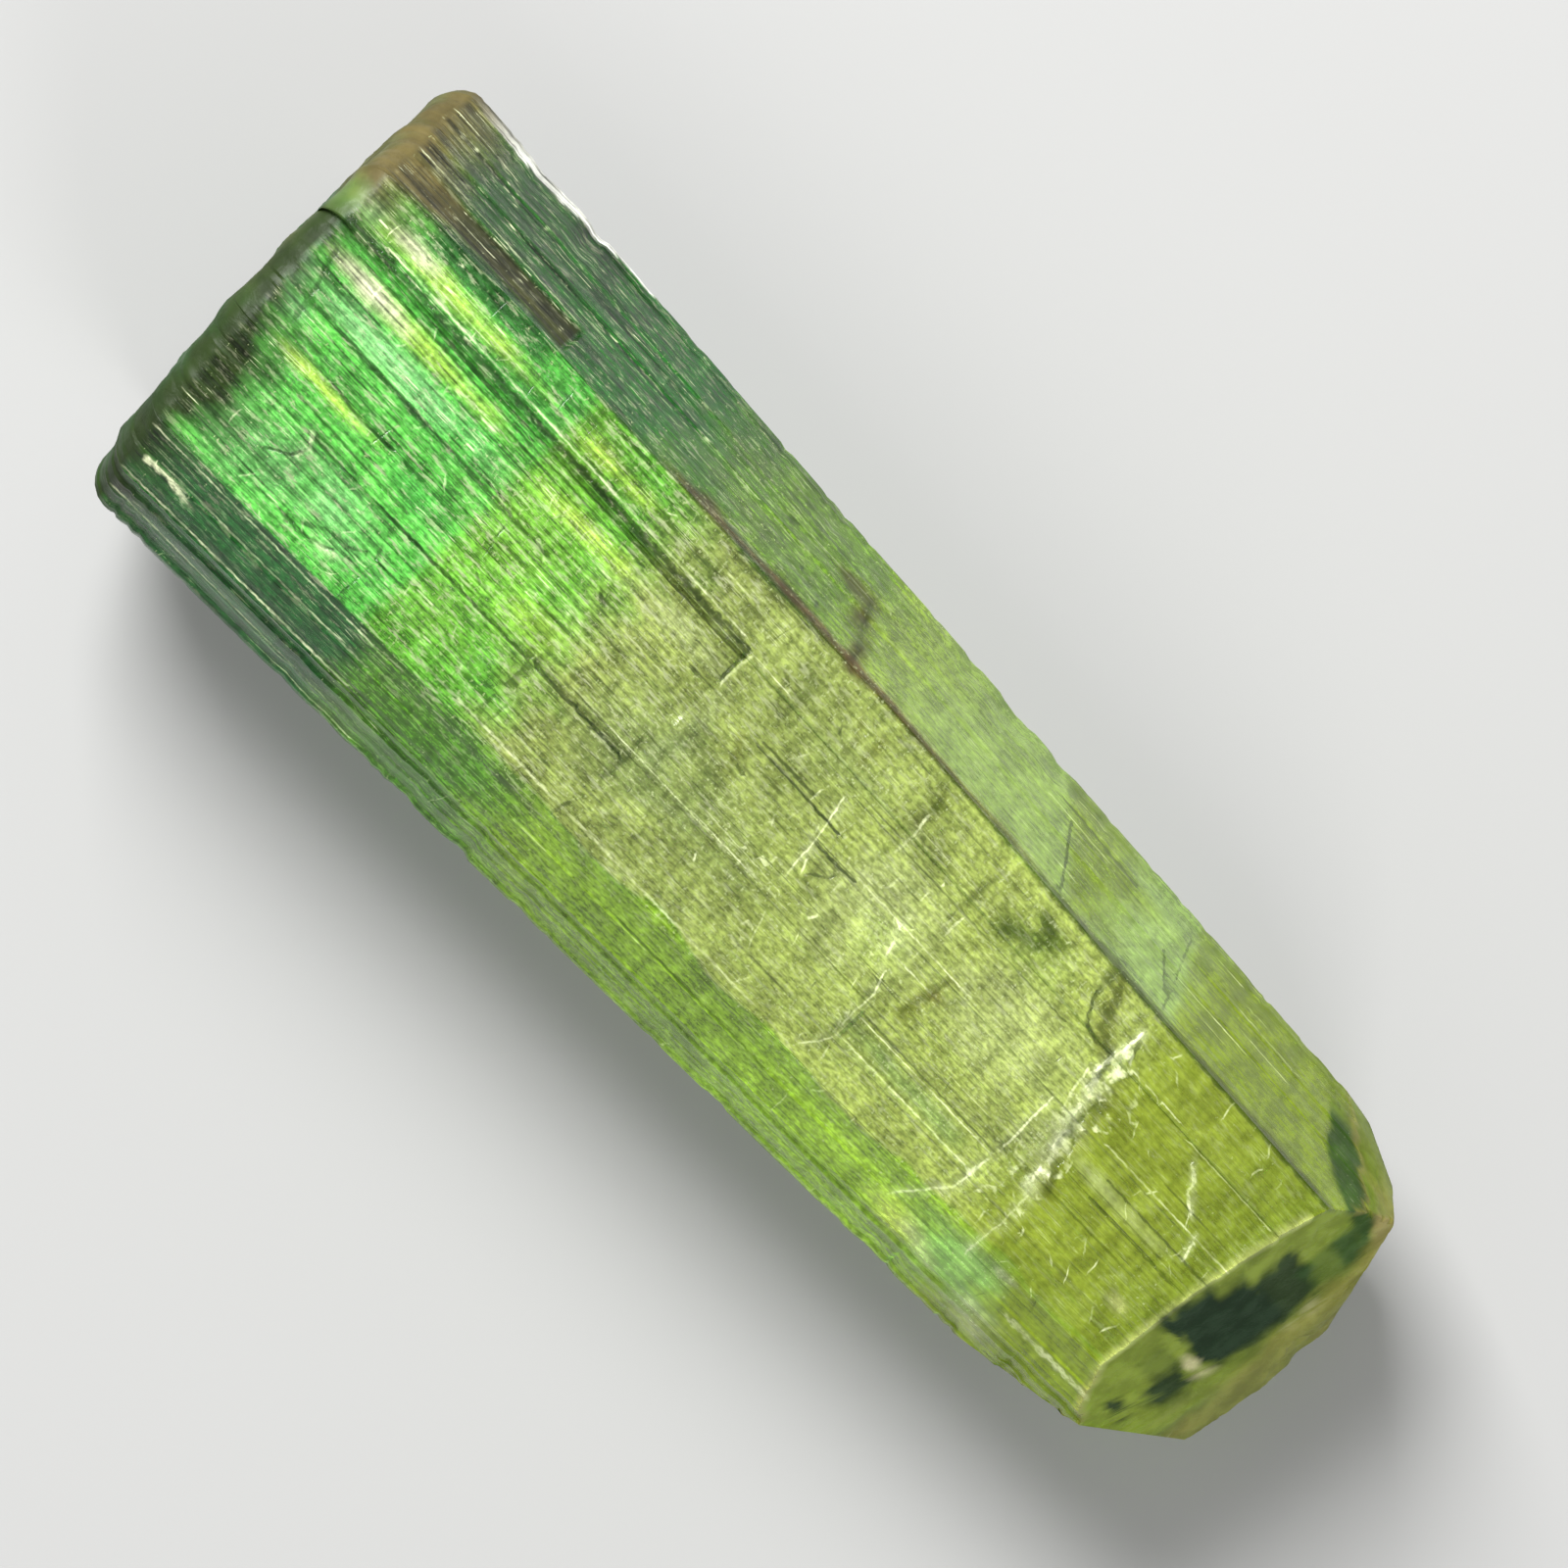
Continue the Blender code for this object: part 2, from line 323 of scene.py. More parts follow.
def base_surface(y, z, share):
    """The x of the broken base: BASE_X plus a dome that grows as the square of the distance
    from the crest, a lean, a low step, the arched ribs that a blow at one corner leaves, as the
    size of a sine, and a rim that rounds off as a quarter circle does."""
    broken = BASE_X + BASE_DOME * (BASE_CREST_Y - y) ** 2 + BASE_LEAN * z
    broken = broken + BASE_STEP * (0.4 + 0.4 * lumps(y, z) + step_up(z - 0.6 * y, 3.9, 4.5))
    ribs = np.abs(np.sin(1.9 * np.hypot(y - 4.2, z - 8.0) + 0.7 * lumps(y, z)))
    broken = broken + (0.03 * grain(0.6 * y, 0.6 * z) + 0.11 * ribs) * (1 - share ** 6)
    into_rim = np.clip(1 - (1 - share) * AXIS_Z / BASE_RIM_RADIUS, 0, 1)
    return broken + BASE_RIM_RADIUS * (1 - np.sqrt(1 - into_rim ** 2))


def tip_planes(y, z, share):
    """The x of every termination face, with lumps and grain on the end face."""
    planes = [at + per_y * y + per_z * z for _, at, per_y, per_z in TERMINATION_FACES]
    rough = TIP_LUMP * (lumps(1.6 * y, 1.6 * z) - 0.5) + 0.03 * grain(y, z)
    planes[0] = planes[0] + rough * (1 - share ** 4)
    return np.array(planes)


def tip_surface(y, z, share):
    """The x of the termination, which is the lowest of its faces."""
    return tip_planes(y, z, share).min(axis=0)


# %% [markdown]
# ## Rings
#
# Between the two ends the rings stand square to the crystal's axis. Near an end each column
# stops where it meets that end's surface, and further rings shrink from there to a point on the
# axis. The tip's rings are placed so that two of them lie on the edges between its faces.

# %% Rings along the prism
FIXED_FROM, FIXED_TO = -13.5, 9.5
SHARP_STATIONS = (-2.74, -2.66, -9.74, -9.66, 4.11, 4.19, 8.16, 8.24)
turn = around / girth
# How far the ridge stands outside the even taper at a few places along the crystal.
RIDGE_BULGE_X = (-15.5, -11.0, -3.8, 0.0, 4.2, 8.5, 12.2, 15.5)
RIDGE_BULGE = (0.05, 0.20, 0.30, 0.38, 0.32, 0.22, 0.18, 0.15)


def outline(x):
    """The (y, z) of each column's surface at its x: the flat place, moved inward by every
    depth, and then tapered in proportion to the distance from the base. The ridge's line is
    straighter than that, so the faces on both sides of it are drawn out with it."""
    y, z, inward_y, inward_z, depth = columns.T
    drawn_out = np.minimum(step_up(z, RIGHT_Z, RIDGE_Z), step_up(y, SHOULDER_Y, RIDGE_Y))
    bulge = drawn_out * np.interp(x, RIDGE_BULGE_X, RIDGE_BULGE)
    wander = 2 * rough_noise(x / 0.9 + 60, turn, 34, 31) - 1
    raised = z > 0.02
    sunk = depth + local_depth(y, z, x, wander) + (growth_lines(x, turn) + edge_chips(x, y)) * raised
    along = x - BASE_X
    y = (y + sunk * inward_y) * (1 - TAPER_Y * along) + bulge
    z = (z + sunk * inward_z) * (1 - TAPER_Z * along)
    return np.stack([y, z])


start = np.full(len(turn), BASE_X + 1.0)
end = np.full(len(turn), TIP_X - 2.0)
for _ in range(8):
    start = base_surface(*outline(start), 1.0)
    end = tip_surface(*outline(end), 1.0)

stations = np.union1d(np.linspace(BASE_X, TIP_X, 170), SHARP_STATIONS)
rings = []
for station in stations:
    x = np.full(len(turn), station)
    if station < FIXED_FROM:
        x = start + (station - BASE_X) / (FIXED_FROM - BASE_X) * (FIXED_FROM - start)
    elif station > FIXED_TO:
        x = FIXED_TO + (station - FIXED_TO) / (TIP_X - FIXED_TO) * (end - FIXED_TO)
    rings.append(np.column_stack([x, *outline(x)]))
print("rings along the prism:", len(rings))
print("tip column from", round(end.min(), 2), "to", round(end.max(), 2))


# %% Rings over the two ends
def cap_rings(rim, shares, surface):
    """Rings that shrink a rim towards the axis and lie on the surface of that end."""
    centre = np.array([0.0, AXIS_Z])
    found = []
    for share in shares:
        share = np.reshape(share, -1)
        y, z = (centre + share[:, None] * (rim[:, 1:] - centre)).T
        found.append(np.column_stack([surface(y, z, share), y, z]))
    return found


def column_mean(values):
    """Each column's value averaged with those of the three columns on either side of it."""
    return sum(np.roll(values, shift) for shift in range(-3, 4)) / 7


def tip_ring_shares(rim):
    """Shares for the tip's rings. Each column's line to the axis crosses from one termination
    face to the next at two places, and rings are spread evenly between them. Averaged places
    keep neighbouring columns' rings together where three faces meet."""
    shares = np.linspace(1, 0, 401)[:, None]
    y, z = shares * rim[:, 1], AXIS_Z + shares * (rim[:, 2] - AXIS_Z)
    lowest = tip_planes(y, z, shares).argmin(axis=0)
    crossing = lowest[1:] != lowest[:-1]
    first = shares[np.where(crossing.any(axis=0), crossing.argmax(axis=0), 140), 0]
    later = crossing & (shares[1:] < first - 0.02)
    second = shares[np.where(later.any(axis=0), later.argmax(axis=0), 0), 0]
    second = np.where(later.any(axis=0), second, first * 0.6)
    first, second = column_mean(first), column_mean(second)
    outer = [1 + (first - 1) * k / 7 for k in range(1, 8)]
    middle = [first + (second - first) * k / 12 for k in range(1, 13)]
    inner = [second * (1 - k / 10) for k in range(1, 11)]
    return outer + middle + inner


base_shares = np.concatenate([np.linspace(0, 0.86, 20), np.linspace(0.89, 0.995, 6)])
base_rings = cap_rings(rings[0], base_shares, base_surface)
tip_rings = cap_rings(rings[-1], tip_ring_shares(rings[-1]), tip_surface)
grid = np.stack(base_rings + rings + tip_rings)
on_end = np.ones(len(grid))
on_end[len(base_rings):len(base_rings) + len(rings)] = 0.0
base_share = np.ones(len(grid))
base_share[:len(base_rings)] = base_shares
print("grid of rings and columns:", grid.shape[:2])

# %% [markdown]
# ## From grid to mesh
#
# The grid becomes quads, and each end closes in one point with a fan of triangles. The mesh gets
# a map of its own as well: u is the distance along the crystal and v the distance round it, both
# in millimetres, so a pattern can be fine across the growth lines and long along them.

# %% Crystal mesh
def crystal_object(name, grid):
    """A closed mesh from the grid: the first and the last ring each shrink to one point."""
    count = grid.shape[1]
    points = np.vstack([grid[0, :1], grid[1:-1].reshape(-1, 3), grid[-1, :1]])
    column = np.arange(count)
    following = (column + 1) % count
    near = 1 + count * np.arange(len(grid) - 3)[:, None]
    here, beside = near + column, near + following
    quads = np.stack([here, beside, count + beside, count + here], axis=-1)
    last = len(points) - 1
    base_fan = np.stack([np.zeros(count, int), 1 + following, 1 + column], axis=-1)
    tip_fan = np.stack([last - count + column, last - count + following, np.full(count, last)], axis=-1)
    mesh = bpy.data.meshes.new(name)
    faces = base_fan.tolist() + quads.reshape(-1, 4).tolist() + tip_fan.tolist()
    mesh.from_pydata((points * MM).tolist(), [], faces)
    made = bpy.data.objects.new(name, mesh)
    bpy.context.scene.collection.objects.link(made)
    return made


def per_vertex(values):
    """A value for each place of the grid, thinned to one for each of the mesh's vertices."""
    values = np.broadcast_to(values, grid.shape[:2])
    return np.concatenate([values[0, :1], values[1:-1].ravel(), values[-1, :1]])


SHARP_ANGLE = 24
crystal = crystal_object("tourmaline_crystal", grid)
crystal.data.shade_smooth()
crystal.data.set_sharp_from_angle(angle=math.radians(SHARP_ANGLE))
print("triangles:", sum(len(face.vertices) - 2 for face in crystal.data.polygons))


# %% Coordinates of every vertex
x, y, z = (per_vertex(grid[..., axis]) for axis in range(3))
round_crystal = per_vertex(turn[None, :])
ends = per_vertex(on_end[:, None])
around_mm = per_vertex(around[None, :])
from_base = np.maximum(x - per_vertex(start[None, :]), 0) * (1 - ends * (x < 0))
to_tip = np.maximum(per_vertex(end[None, :]) - x, 0) * (1 - ends * (x > 0))
TOP_Z = 9.25
height = z / (TOP_Z * (1 - TAPER_Z * (x - BASE_X)))
top_side = step_up(height, 0.50, 0.62)
print("height from", round(height.min(), 2), "to", round(height.max(), 2))

# %% [markdown]
# ## The crystal's greens
#
# The colour is in the crystal, not on it: emerald at the base, a fresher green beyond an old
# growth front, then khaki, and olive towards the tip. The sides are painted darker, as painted
# shade, because more of the crystal lies behind them. Each zone is one named colour, and the
# fronts between them run straight across, with a little unevenness.

# %% Colour helpers
def linear(screen_colour):
    """A screen colour, three values of 0 to 255, as the linear light that a shader works in."""
    return np.array([((value / 255 + 0.055) / 1.055) ** 2.4 for value in screen_colour])


EMERALD = (114, 226, 92)
LEAF = (124, 208, 70)
KHAKI = (168, 184, 97)
PALE_KHAKI = (186, 203, 100)
OLIVE = (158, 176, 58)
DEEP_OLIVE = (122, 144, 36)
FOREST = (8, 40, 0)
BOTTLE = (30, 66, 0)
TEAL = (40, 106, 50)
MINT = (160, 238, 150)
GLOW = (214, 250, 96)
CREAM = (246, 252, 204)
SPARKLE = (238, 250, 186)
BROWN_STAIN = (54, 45, 22)
RUST = (98, 72, 28)
TAN = (144, 138, 52)
# Painted shade in cracks and along land edges.
LINE_SHADE = (20, 40, 10)

tint = np.tile(linear(EMERALD), (len(x), 1))
cloud = np.zeros(len(x))


def paint(colour, mask, cloudy=0.0):
    """Blends the crystal's tint towards a screen colour, by a mask of 0 to 1 for each vertex,
    and makes the place that much cloudier."""
    global tint, cloud
    mask = np.clip(mask, 0, 1)
    tint = tint * (1 - mask[:, None]) + linear(colour) * mask[:, None]
    cloud = cloud * (1 - mask) + np.maximum(cloud, cloudy) * mask


# %% Colour zones along the crystal
LEAF_FRONT_X = -8.49
KHAKI_FRONT_X = -5.57
ripple = rough_noise(x / 1.4 + 60, round_crystal, 40, 41)
mottle = rough_noise(x / 0.7 + 60, round_crystal, 70, 42)
ripple = 2 * np.where(ends > 0, rough_noise(y / 0.9 + 60, z / 10, 12, 43), ripple) - 1
mottle = 2 * np.where(ends > 0, rough_noise(y / 0.5 + 60, z / 10, 22, 44), mottle) - 1
front_x = x + 0.10 * ripple
paint(LEAF, step_up(front_x, LEAF_FRONT_X - 0.08, LEAF_FRONT_X + 0.14))
paint(KHAKI, step_up(x + 0.9 * ripple, KHAKI_FRONT_X - 0.6, KHAKI_FRONT_X + 1.0))
paint(PALE_KHAKI, 0.8 * step_up(x, -0.5, 5.5))
paint(OLIVE, step_up(front_x, 8.1, 9.1))
paint(DEEP_OLIVE, 0.5 * step_up(x, 11.0, 13.0))
print("mean tint:", tint.mean(axis=0).round(3))

# %% Faces painted darker or fresher than the top, as painted shade
# Where three parts of the outline start and end, in mm round it.
UPPER_RIGHT, LEFT, UNDERSIDE = (0.0, 5.17), (11.99, 18.07), (18.07, 34.3)
# Each row: the part, where the colour begins along the crystal, the length over which it comes
# in, and the colour.
# The side faces' colours are painted shade: they are darker than the top, most of all near the base.
FACE_SHADE_COLOURS = (
    (UPPER_RIGHT, -15.5, 0.1, (12, 78, 0)),
    (UPPER_RIGHT, -11.4, 2.4, (2, 112, 0)),
    (UPPER_RIGHT, -7.0, 2.6, (118, 158, 40)),
    (UPPER_RIGHT, -2.2, 2.0, (158, 184, 60)),
    (UPPER_RIGHT, 8.4, 0.5, (150, 174, 14)),
    (LEFT, -15.5, 0.1, TEAL),
    (LEFT, -8.5, 0.8, (104, 166, 46)),
    (LEFT, -5.2, 2.4, (158, 198, 60)),
    (LEFT, 2.0, 2.0, (176, 220, 66)),
    (LEFT, 8.4, 1.0, (158, 180, 44)),
    (UNDERSIDE, -15.5, 0.1, (60, 130, 62)),
    (UNDERSIDE, -8.5, 0.8, (104, 166, 60)),
    (UNDERSIDE, -5.0, 2.6, (150, 176, 76)),
    (UNDERSIDE, 8.4, 0.8, (148, 168, 52)),
)
for (face_start, face_end), begins, comes_in, screen_colour in FACE_SHADE_COLOURS:
    unevenness = 0.05 + 0.30 * step_up(x, -7.0, -3.0) * (face_start > 6)
    on_face = between(around_mm + unevenness * ripple, face_start, face_end, 0.10)
    on_face = np.where(around_mm < 0.2, float(face_start == 0.0), on_face)
    mask = 0.95 * on_face * step_up(x + 0.5 * ripple * comes_in, begins, begins + comes_in)
    paint(screen_colour, mask)
ridge_face = between(around_mm, 5.17, 6.43, 0.06)
# Painted shade: the narrow face below the ridge is darker towards the base.
tint *= (1 - 0.30 * ridge_face * (1 - step_up(x, -6.0, -2.0)))[:, None]
calm = np.maximum(step_up(x, 8.2, 9.2), 0.8 * step_up(x, -1.0, 1.0) * (around_mm < 5.12))
tint *= (1 + (0.20 * mottle + 0.12 * ripple) * (1 - 0.65 * calm))[:, None]

# %% [markdown]
# ## Glowing and cloudy places
#
# Where light comes back from inside, the stone shows mint, yellow-green and almost white patches,
# drawn out along the growth lines; here they are painted glow and painted highlights in the
# colour. Brown stains lie in the upper right face. Each patch is an ellipse on the top of the
# crystal whose rim wanders with noise.

# %% Patches on the top: painted glow and highlights
PAINTED_GLOW_PATCHES = (
    # centre x, centre y, half length, half width, strength, colour
    (-12.2, 2.42, 2.6, 0.3, 0.55, GLOW),
    (-14.4, 2.45, 0.42, 0.3, 0.95, MINT),
    (-13.25, 2.52, 0.7, 0.22, 0.85, CREAM),
    (-11.9, 1.3, 2.7, 0.26, 0.6, GLOW),
    (-13.2, 1.3, 1.1, 0.24, 1.0, CREAM),
    (-11.6, 0.62, 2.7, 0.34, 0.75, MINT),
    (-14.5, 0.5, 0.26, 0.5, 0.95, MINT),
    (-14.1, -0.05, 0.5, 0.26, 0.8, MINT),
    (-12.6, -0.74, 1.5, 0.16, 0.75, GLOW),
    (-10.6, -2.3, 1.3, 0.8, 0.6, MINT),
    (-12.9, -2.7, 1.9, 0.85, 0.35, MINT),
    (-7.4, 0.2, 1.6, 2.6, 0.15, GLOW),
    (-6.8, 1.15, 1.3, 0.3, 0.65, GLOW),
    (-7.2, 2.4, 1.5, 0.24, 0.45, GLOW),
    (-6.2, -1.0, 0.9, 0.6, 0.3, GLOW),
    (-4.0, 1.2, 1.4, 0.3, 0.15, CREAM),
    (3.0, 0.1, 1.5, 1.3, 0.14, CREAM),
    (3.3, -0.3, 0.7, 0.6, 0.2, GLOW),
    (6.5, 0.3, 1.6, 1.2, 0.14, CREAM),
    (8.6, -0.4, 0.6, 0.7, 0.15, CREAM),
    (10.2, -0.4, 1.6, 0.22, 0.22, CREAM),
    (9.2, -3.6, 1.2, 0.7, 0.4, MINT),
    (10.2, -4.2, 0.8, 0.4, 0.25, CREAM),
    (7.6, -3.9, 0.8, 0.3, 0.5, (230, 244, 120)),
    (11.95, -1.8, 0.3, 0.2, 0.7, (190, 196, 120)),
)


def patch(centre_x, centre_y, half_length, half_width):
    """1 inside an ellipse and 0 outside it: the elliptical distance, bent by the mottle, goes
    through a ramp from 0.35 to 1.2."""
    reach = np.hypot((x - centre_x) / half_length, (y - centre_y) / half_width)
    return (1 - step_up(reach + 0.45 * mottle, 0.35, 1.2)) * top_side


def paint_patches(rows, cloudy):
    """Paints the ellipses of a table one after another."""
    for *place, strength, screen_colour in rows:
        paint(screen_colour, strength * patch(*place), cloudy)


paint_patches(PAINTED_GLOW_PATCHES, 0.35)

# %% Places that shimmer: many tiny painted glints, which the shader draws
SHIMMER_PATCHES = (
    # centre x, centre y, half length, half width, strength
    (3.0, 0.3, 1.6, 1.5, 0.62),
    (3.2, -0.2, 0.8, 0.8, 0.75),
    (-4.0, 0.9, 1.5, 1.3, 0.6),
    (-1.6, -1.0, 2.2, 0.9, 0.55),
    (0.2, -1.15, 2.2, 0.45, 0.62),
    (6.6, 0.1, 1.6, 1.0, 0.5),
    (8.55, -0.3, 0.55, 2.1, 0.72),
    (2.2, -1.9, 2.0, 0.8, 0.45),
    (-7.2, 2.5, 1.6, 0.4, 0.7),
    (-6.8, 1.1, 1.5, 0.5, 0.8),
    (11.9, -1.1, 0.6, 1.3, 0.45),
    (9.2, -3.4, 1.6, 0.6, 0.55),
    (-11.5, -2.3, 2.6, 1.0, 0.1),
)
shimmer = np.zeros(len(x))
for *place, strength in SHIMMER_PATCHES:
    shimmer = np.maximum(shimmer, strength * patch(*place))

# %% Veils: wide soft fractures, with a painted flash of cream and sparkles
FAR = 9.0
VEIL_FLASHES = (
    # half width, strength, then x and y of each point
    (0.16, 0.85, 8.35, 2.3, 8.33, 1.9, 8.25, 1.2, 8.53, 0.34, 8.77, -0.6, 8.97, -1.5),
    (0.14, 0.6, 8.55, 1.5, 8.66, 0.9, 8.45, 0.4),
    (0.12, 0.6, 8.9, 0.1, 8.62, -0.3, 9.15, -1.1, 9.2, -2.4, 9.1, -3.2),
    (0.1, 0.5, 8.03, 0.1, 8.08, -1.4, 7.95, -2.6, 7.3, -3.5),
    (0.1, 0.55, 10.95, 1.25, 11.25, 0.95, 11.7, 0.5),
    (0.08, 0.5, 12.05, 0.3, 12.2, -0.25),
    (0.1, 0.55, 2.17, 2.2, 2.25, 1.3),
    (0.12, 0.55, 3.35, 0.5, 3.62, -0.35),
    (0.1, 0.45, 0.73, 1.2, 0.98, 0.0, 1.1, -0.9),
    (0.09, 0.45, 3.8, -0.6, 4.02, -1.2, 4.05, -2.3, 3.8, -2.8),
    (0.06, 0.6, -13.9, -4.32, -13.3, -4.24, -12.6, -4.36),
    (0.12, 0.7, -10.35, -3.02, -9.9, -2.94),
    (0.12, 0.6, -11.98, -1.45, -11.75, -1.8, -11.9, -2.15),
    (0.1, 0.9, 9.85, -3.1, 10.2, -3.06),
    (0.22, 0.6, 7.9, -3.8, 8.8, -4.05),
    (0.2, 0.4, 9.9, -4.0, 10.5, -4.3),
    (0.16, 0.8, 13.75, -1.62, 13.95, -1.6),
    (0.14, 0.8, 14.45, -1.6, 14.62, -1.6),
)


def segments(places):
    """The straight pieces (x0, y0, x1, y1) of a path whose x and y values stand in one row."""
    return [places[k:k + 4] for k in range(0, len(places) - 2, 2)]


def near_path(places, half_width):
    """1 on a path of straight segments, falling to 0 at one half width from it."""
    reach = np.full(len(x), FAR)
    for x0, y0, x1, y1 in segments(places):
        run, rise = x1 - x0, y1 - y0
        share = np.clip(((x - x0) * run + (y - y0) * rise) / (run * run + rise * rise), 0, 1)
        reach = np.minimum(reach, np.hypot(x - x0 - share * run, y - y0 - share * rise))
    return 1 - step_up(reach / half_width + 0.5 * mottle, 0.1, 1.1)


for half_width, strength, *places in VEIL_FLASHES:
    on_path = strength * near_path(places, half_width) * top_side
    paint(CREAM, 0.42 * on_path, 0.3)
    shimmer = np.maximum(shimmer, 1.4 * on_path)

# %% Shadowy paths: open cracks and hollows that look olive or brown
OLIVE_SHADOW = (92, 92, 14)
GREEN_SHADOW = (84, 104, 12)
SHADOW_PATHS = (
    # half width, strength, colour, then x and y of each point
    (0.24, 0.75, GREEN_SHADOW, 5.25, 2.52, 5.85, 2.36, 5.6, 2.05, 5.05, 1.84, 4.8, 1.74),
    (0.28, 0.55, OLIVE_SHADOW, 7.3, 2.72, 7.48, 2.3, 7.66, 1.88, 8.0, 1.55),
    (0.22, 0.55, OLIVE_SHADOW, 4.86, 0.2, 4.8, -0.12, 4.74, -0.5, 4.66, -0.95),
    (0.3, 0.45, OLIVE_SHADOW, 8.98, -0.7, 9.16, -1.0, 9.36, -1.3),
    (0.26, 0.35, OLIVE_SHADOW, 8.74, 1.3, 8.96, 0.3, 9.1, -0.6),
    (0.16, 0.6, OLIVE_SHADOW, 0.42, 2.56, 0.52, 2.2, 0.46, 1.9),
    (0.16, 0.6, OLIVE_SHADOW, 2.14, 2.6, 2.24, 2.3, 2.1, 2.0),
    (0.12, 0.55, OLIVE_SHADOW, -0.06, 2.5, 0.06, 2.16, 0.02, 1.86),
    (0.14, 0.5, OLIVE_SHADOW, -1.66, 0.6, -1.36, 0.2, -1.28, -0.2),
    (0.14, 0.6, OLIVE_SHADOW, -0.5, -0.2, -0.56, -0.9, -0.48, -1.4),
    (0.3, 0.45, (128, 140, 96), -2.42, 0.6, -2.36, -0.3, -2.5, -1.1),
    (0.24, 0.5, (92, 82, 36), -1.75, 4.3, -1.5, 3.9, -1.26, 3.5, -1.06, 3.14),
)
for half_width, strength, colour, *places in SHADOW_PATHS:
    on_path = strength * near_path(places, half_width) * top_side
    paint(colour, on_path, 0.3)
    shimmer = shimmer * (1 - on_path)

# %% Dull places in the top
GREY_GREEN = (122, 140, 84)
DULL_PATCHES = (
    (-13.2, -2.4, 2.1, 1.3, 0.62, (96, 158, 84)),
    (-14.2, -1.6, 0.8, 1.6, 0.5, (70, 110, 50)),
    (-12.2, -0.4, 1.4, 0.3, 0.35, (70, 130, 50)),
    (-10.0, 0.6, 1.6, 0.5, 0.4, (72, 176, 70)),
    (-9.4, -0.9, 1.2, 0.4, 0.4, (60, 160, 70)),
    (-10.2, 2.1, 1.8, 0.22, 0.4, (70, 160, 60)),
    (-2.7, -1.1, 1.7, 1.2, 0.55, GREY_GREEN),
    (-0.6, -1.0, 1.3, 1.0, 0.35, GREY_GREEN),
    (0.2, 1.6, 1.2, 0.6, 0.3, GREY_GREEN),
    (5.9, -1.88, 1.9, 0.26, 0.55, (120, 156, 92)),
    (5.7, 1.9, 1.0, 0.6, 0.35, (120, 150, 60)),
    (5.6, 3.65, 1.0, 0.6, 0.7, (126, 152, 34)),
    (4.92, -0.22, 0.2, 0.16, 0.8, (100, 92, 34)),
    (4.78, -0.85, 0.14, 0.55, 0.65, (96, 104, 30)),
    (2.2, 2.4, 0.16, 0.3, 0.8, (92, 110, 24)),
    (2.12, 1.0, 0.16, 0.26, 0.5, (104, 120, 40)),
    (10.6, -2.8, 1.2, 0.5, 0.35, (110, 132, 40)),
)
paint_patches(DULL_PATCHES, 0.3)

# %% The upper right face
on_right_face = between(around_mm, 0.0, 5.12, 0.04)
MINT_KHAKI = (180, 214, 112)
below_edge = 3.6 - y
lean = 0.9 * below_edge
mint_start = step_up(x + 0.9 * ripple, -1.2, 1.6)
paint(MINT_KHAKI, 0.70 * on_right_face * mint_start * (1 - step_up(x, 4.65 + lean, 5.0 + lean)))
lean = 0.5 * below_edge
second_end = 1 - step_up(x + 0.1 * ripple, 8.15 + lean, 8.35 + lean)
second_mint = step_up(x + 0.7 * ripple, 5.6, 6.8) * second_end
paint(MINT_KHAKI, 0.95 * on_right_face * second_mint)

# %% The splintered right edge
splinter_width = 0.30 * (1 - step_up(x, -13.0, -9.4)) + 0.12
splinter = (around_mm < splinter_width + 0.10 * mottle) | (around_mm > girth - 0.10)
splinter = splinter * between(x + 0.3 * ripple, -14.7, -9.3, 0.1) * (1 - ends)
paint((246, 246, 236), 0.95 * splinter, 0.8)

# %% Stains, and a painted shadow below the stain bar
stain_wander = 0.07 * ripple
stain_bar = between(y + stain_wander, 3.28, 3.82, 0.05) * between(x, -14.9, -9.77, 0.06)
paint(BROWN_STAIN, 0.88 * stain_bar * top_side, 0.9)
# A painted shadow below the stain bar.
bar_shadow = between(y + stain_wander, 2.74, 3.30, 0.08) * between(x, -13.2, -9.85, 0.15)
paint((28, 74, 30), 0.80 * bar_shadow * top_side, 0.4)
for place in (
    (-5.40, 3.36, 0.50, 0.13),
    (-2.95, 3.26, 0.80, 0.18),
    (-2.30, 4.35, 0.65, 0.18),
    (-1.70, 3.95, 0.30, 0.35),
    (-1.20, 3.40, 0.26, 0.50),
    (-1.00, 3.10, 0.35, 0.20),
):
    paint(BROWN_STAIN, 0.85 * patch(*place), 0.9)
ridge_y = RIDGE_Y * (1 - TAPER_Y * (x - BASE_X)) + np.interp(x, RIDGE_BULGE_X, RIDGE_BULGE)
ridge_rust = between(y - ridge_y + stain_wander, -0.02, 0.13 + 0.05 * mottle, 0.04)
ridge_rust = ridge_rust * between(x, -6.4, 4.6, 0.5)
paint(RUST, 0.90 * ridge_rust * (1 - 0.4 * step_up(x, 1.0, 4.0)) * top_side, 0.5)
olive_ridge = between(y - ridge_y, -0.05, 0.10, 0.05) * step_up(x, 4.5, 5.5)
olive_ridge = olive_ridge * (1 - step_up(x, 13.0, 14.0))
paint((98, 110, 24), 0.75 * olive_ridge * top_side)
print("cloudiest:", cloud.max().round(2))

# %% [markdown]
# ## The ends' colours
#
# The broken base carries a brown film above, and its edge below is painted dark olive as painted
# shade. At the tip, the sloping faces throw the light sideways, so they look forest green: this is
# painted shade, and the pale line along the tip's edge is a painted highlight. The lumpy end is
# dull and tan.

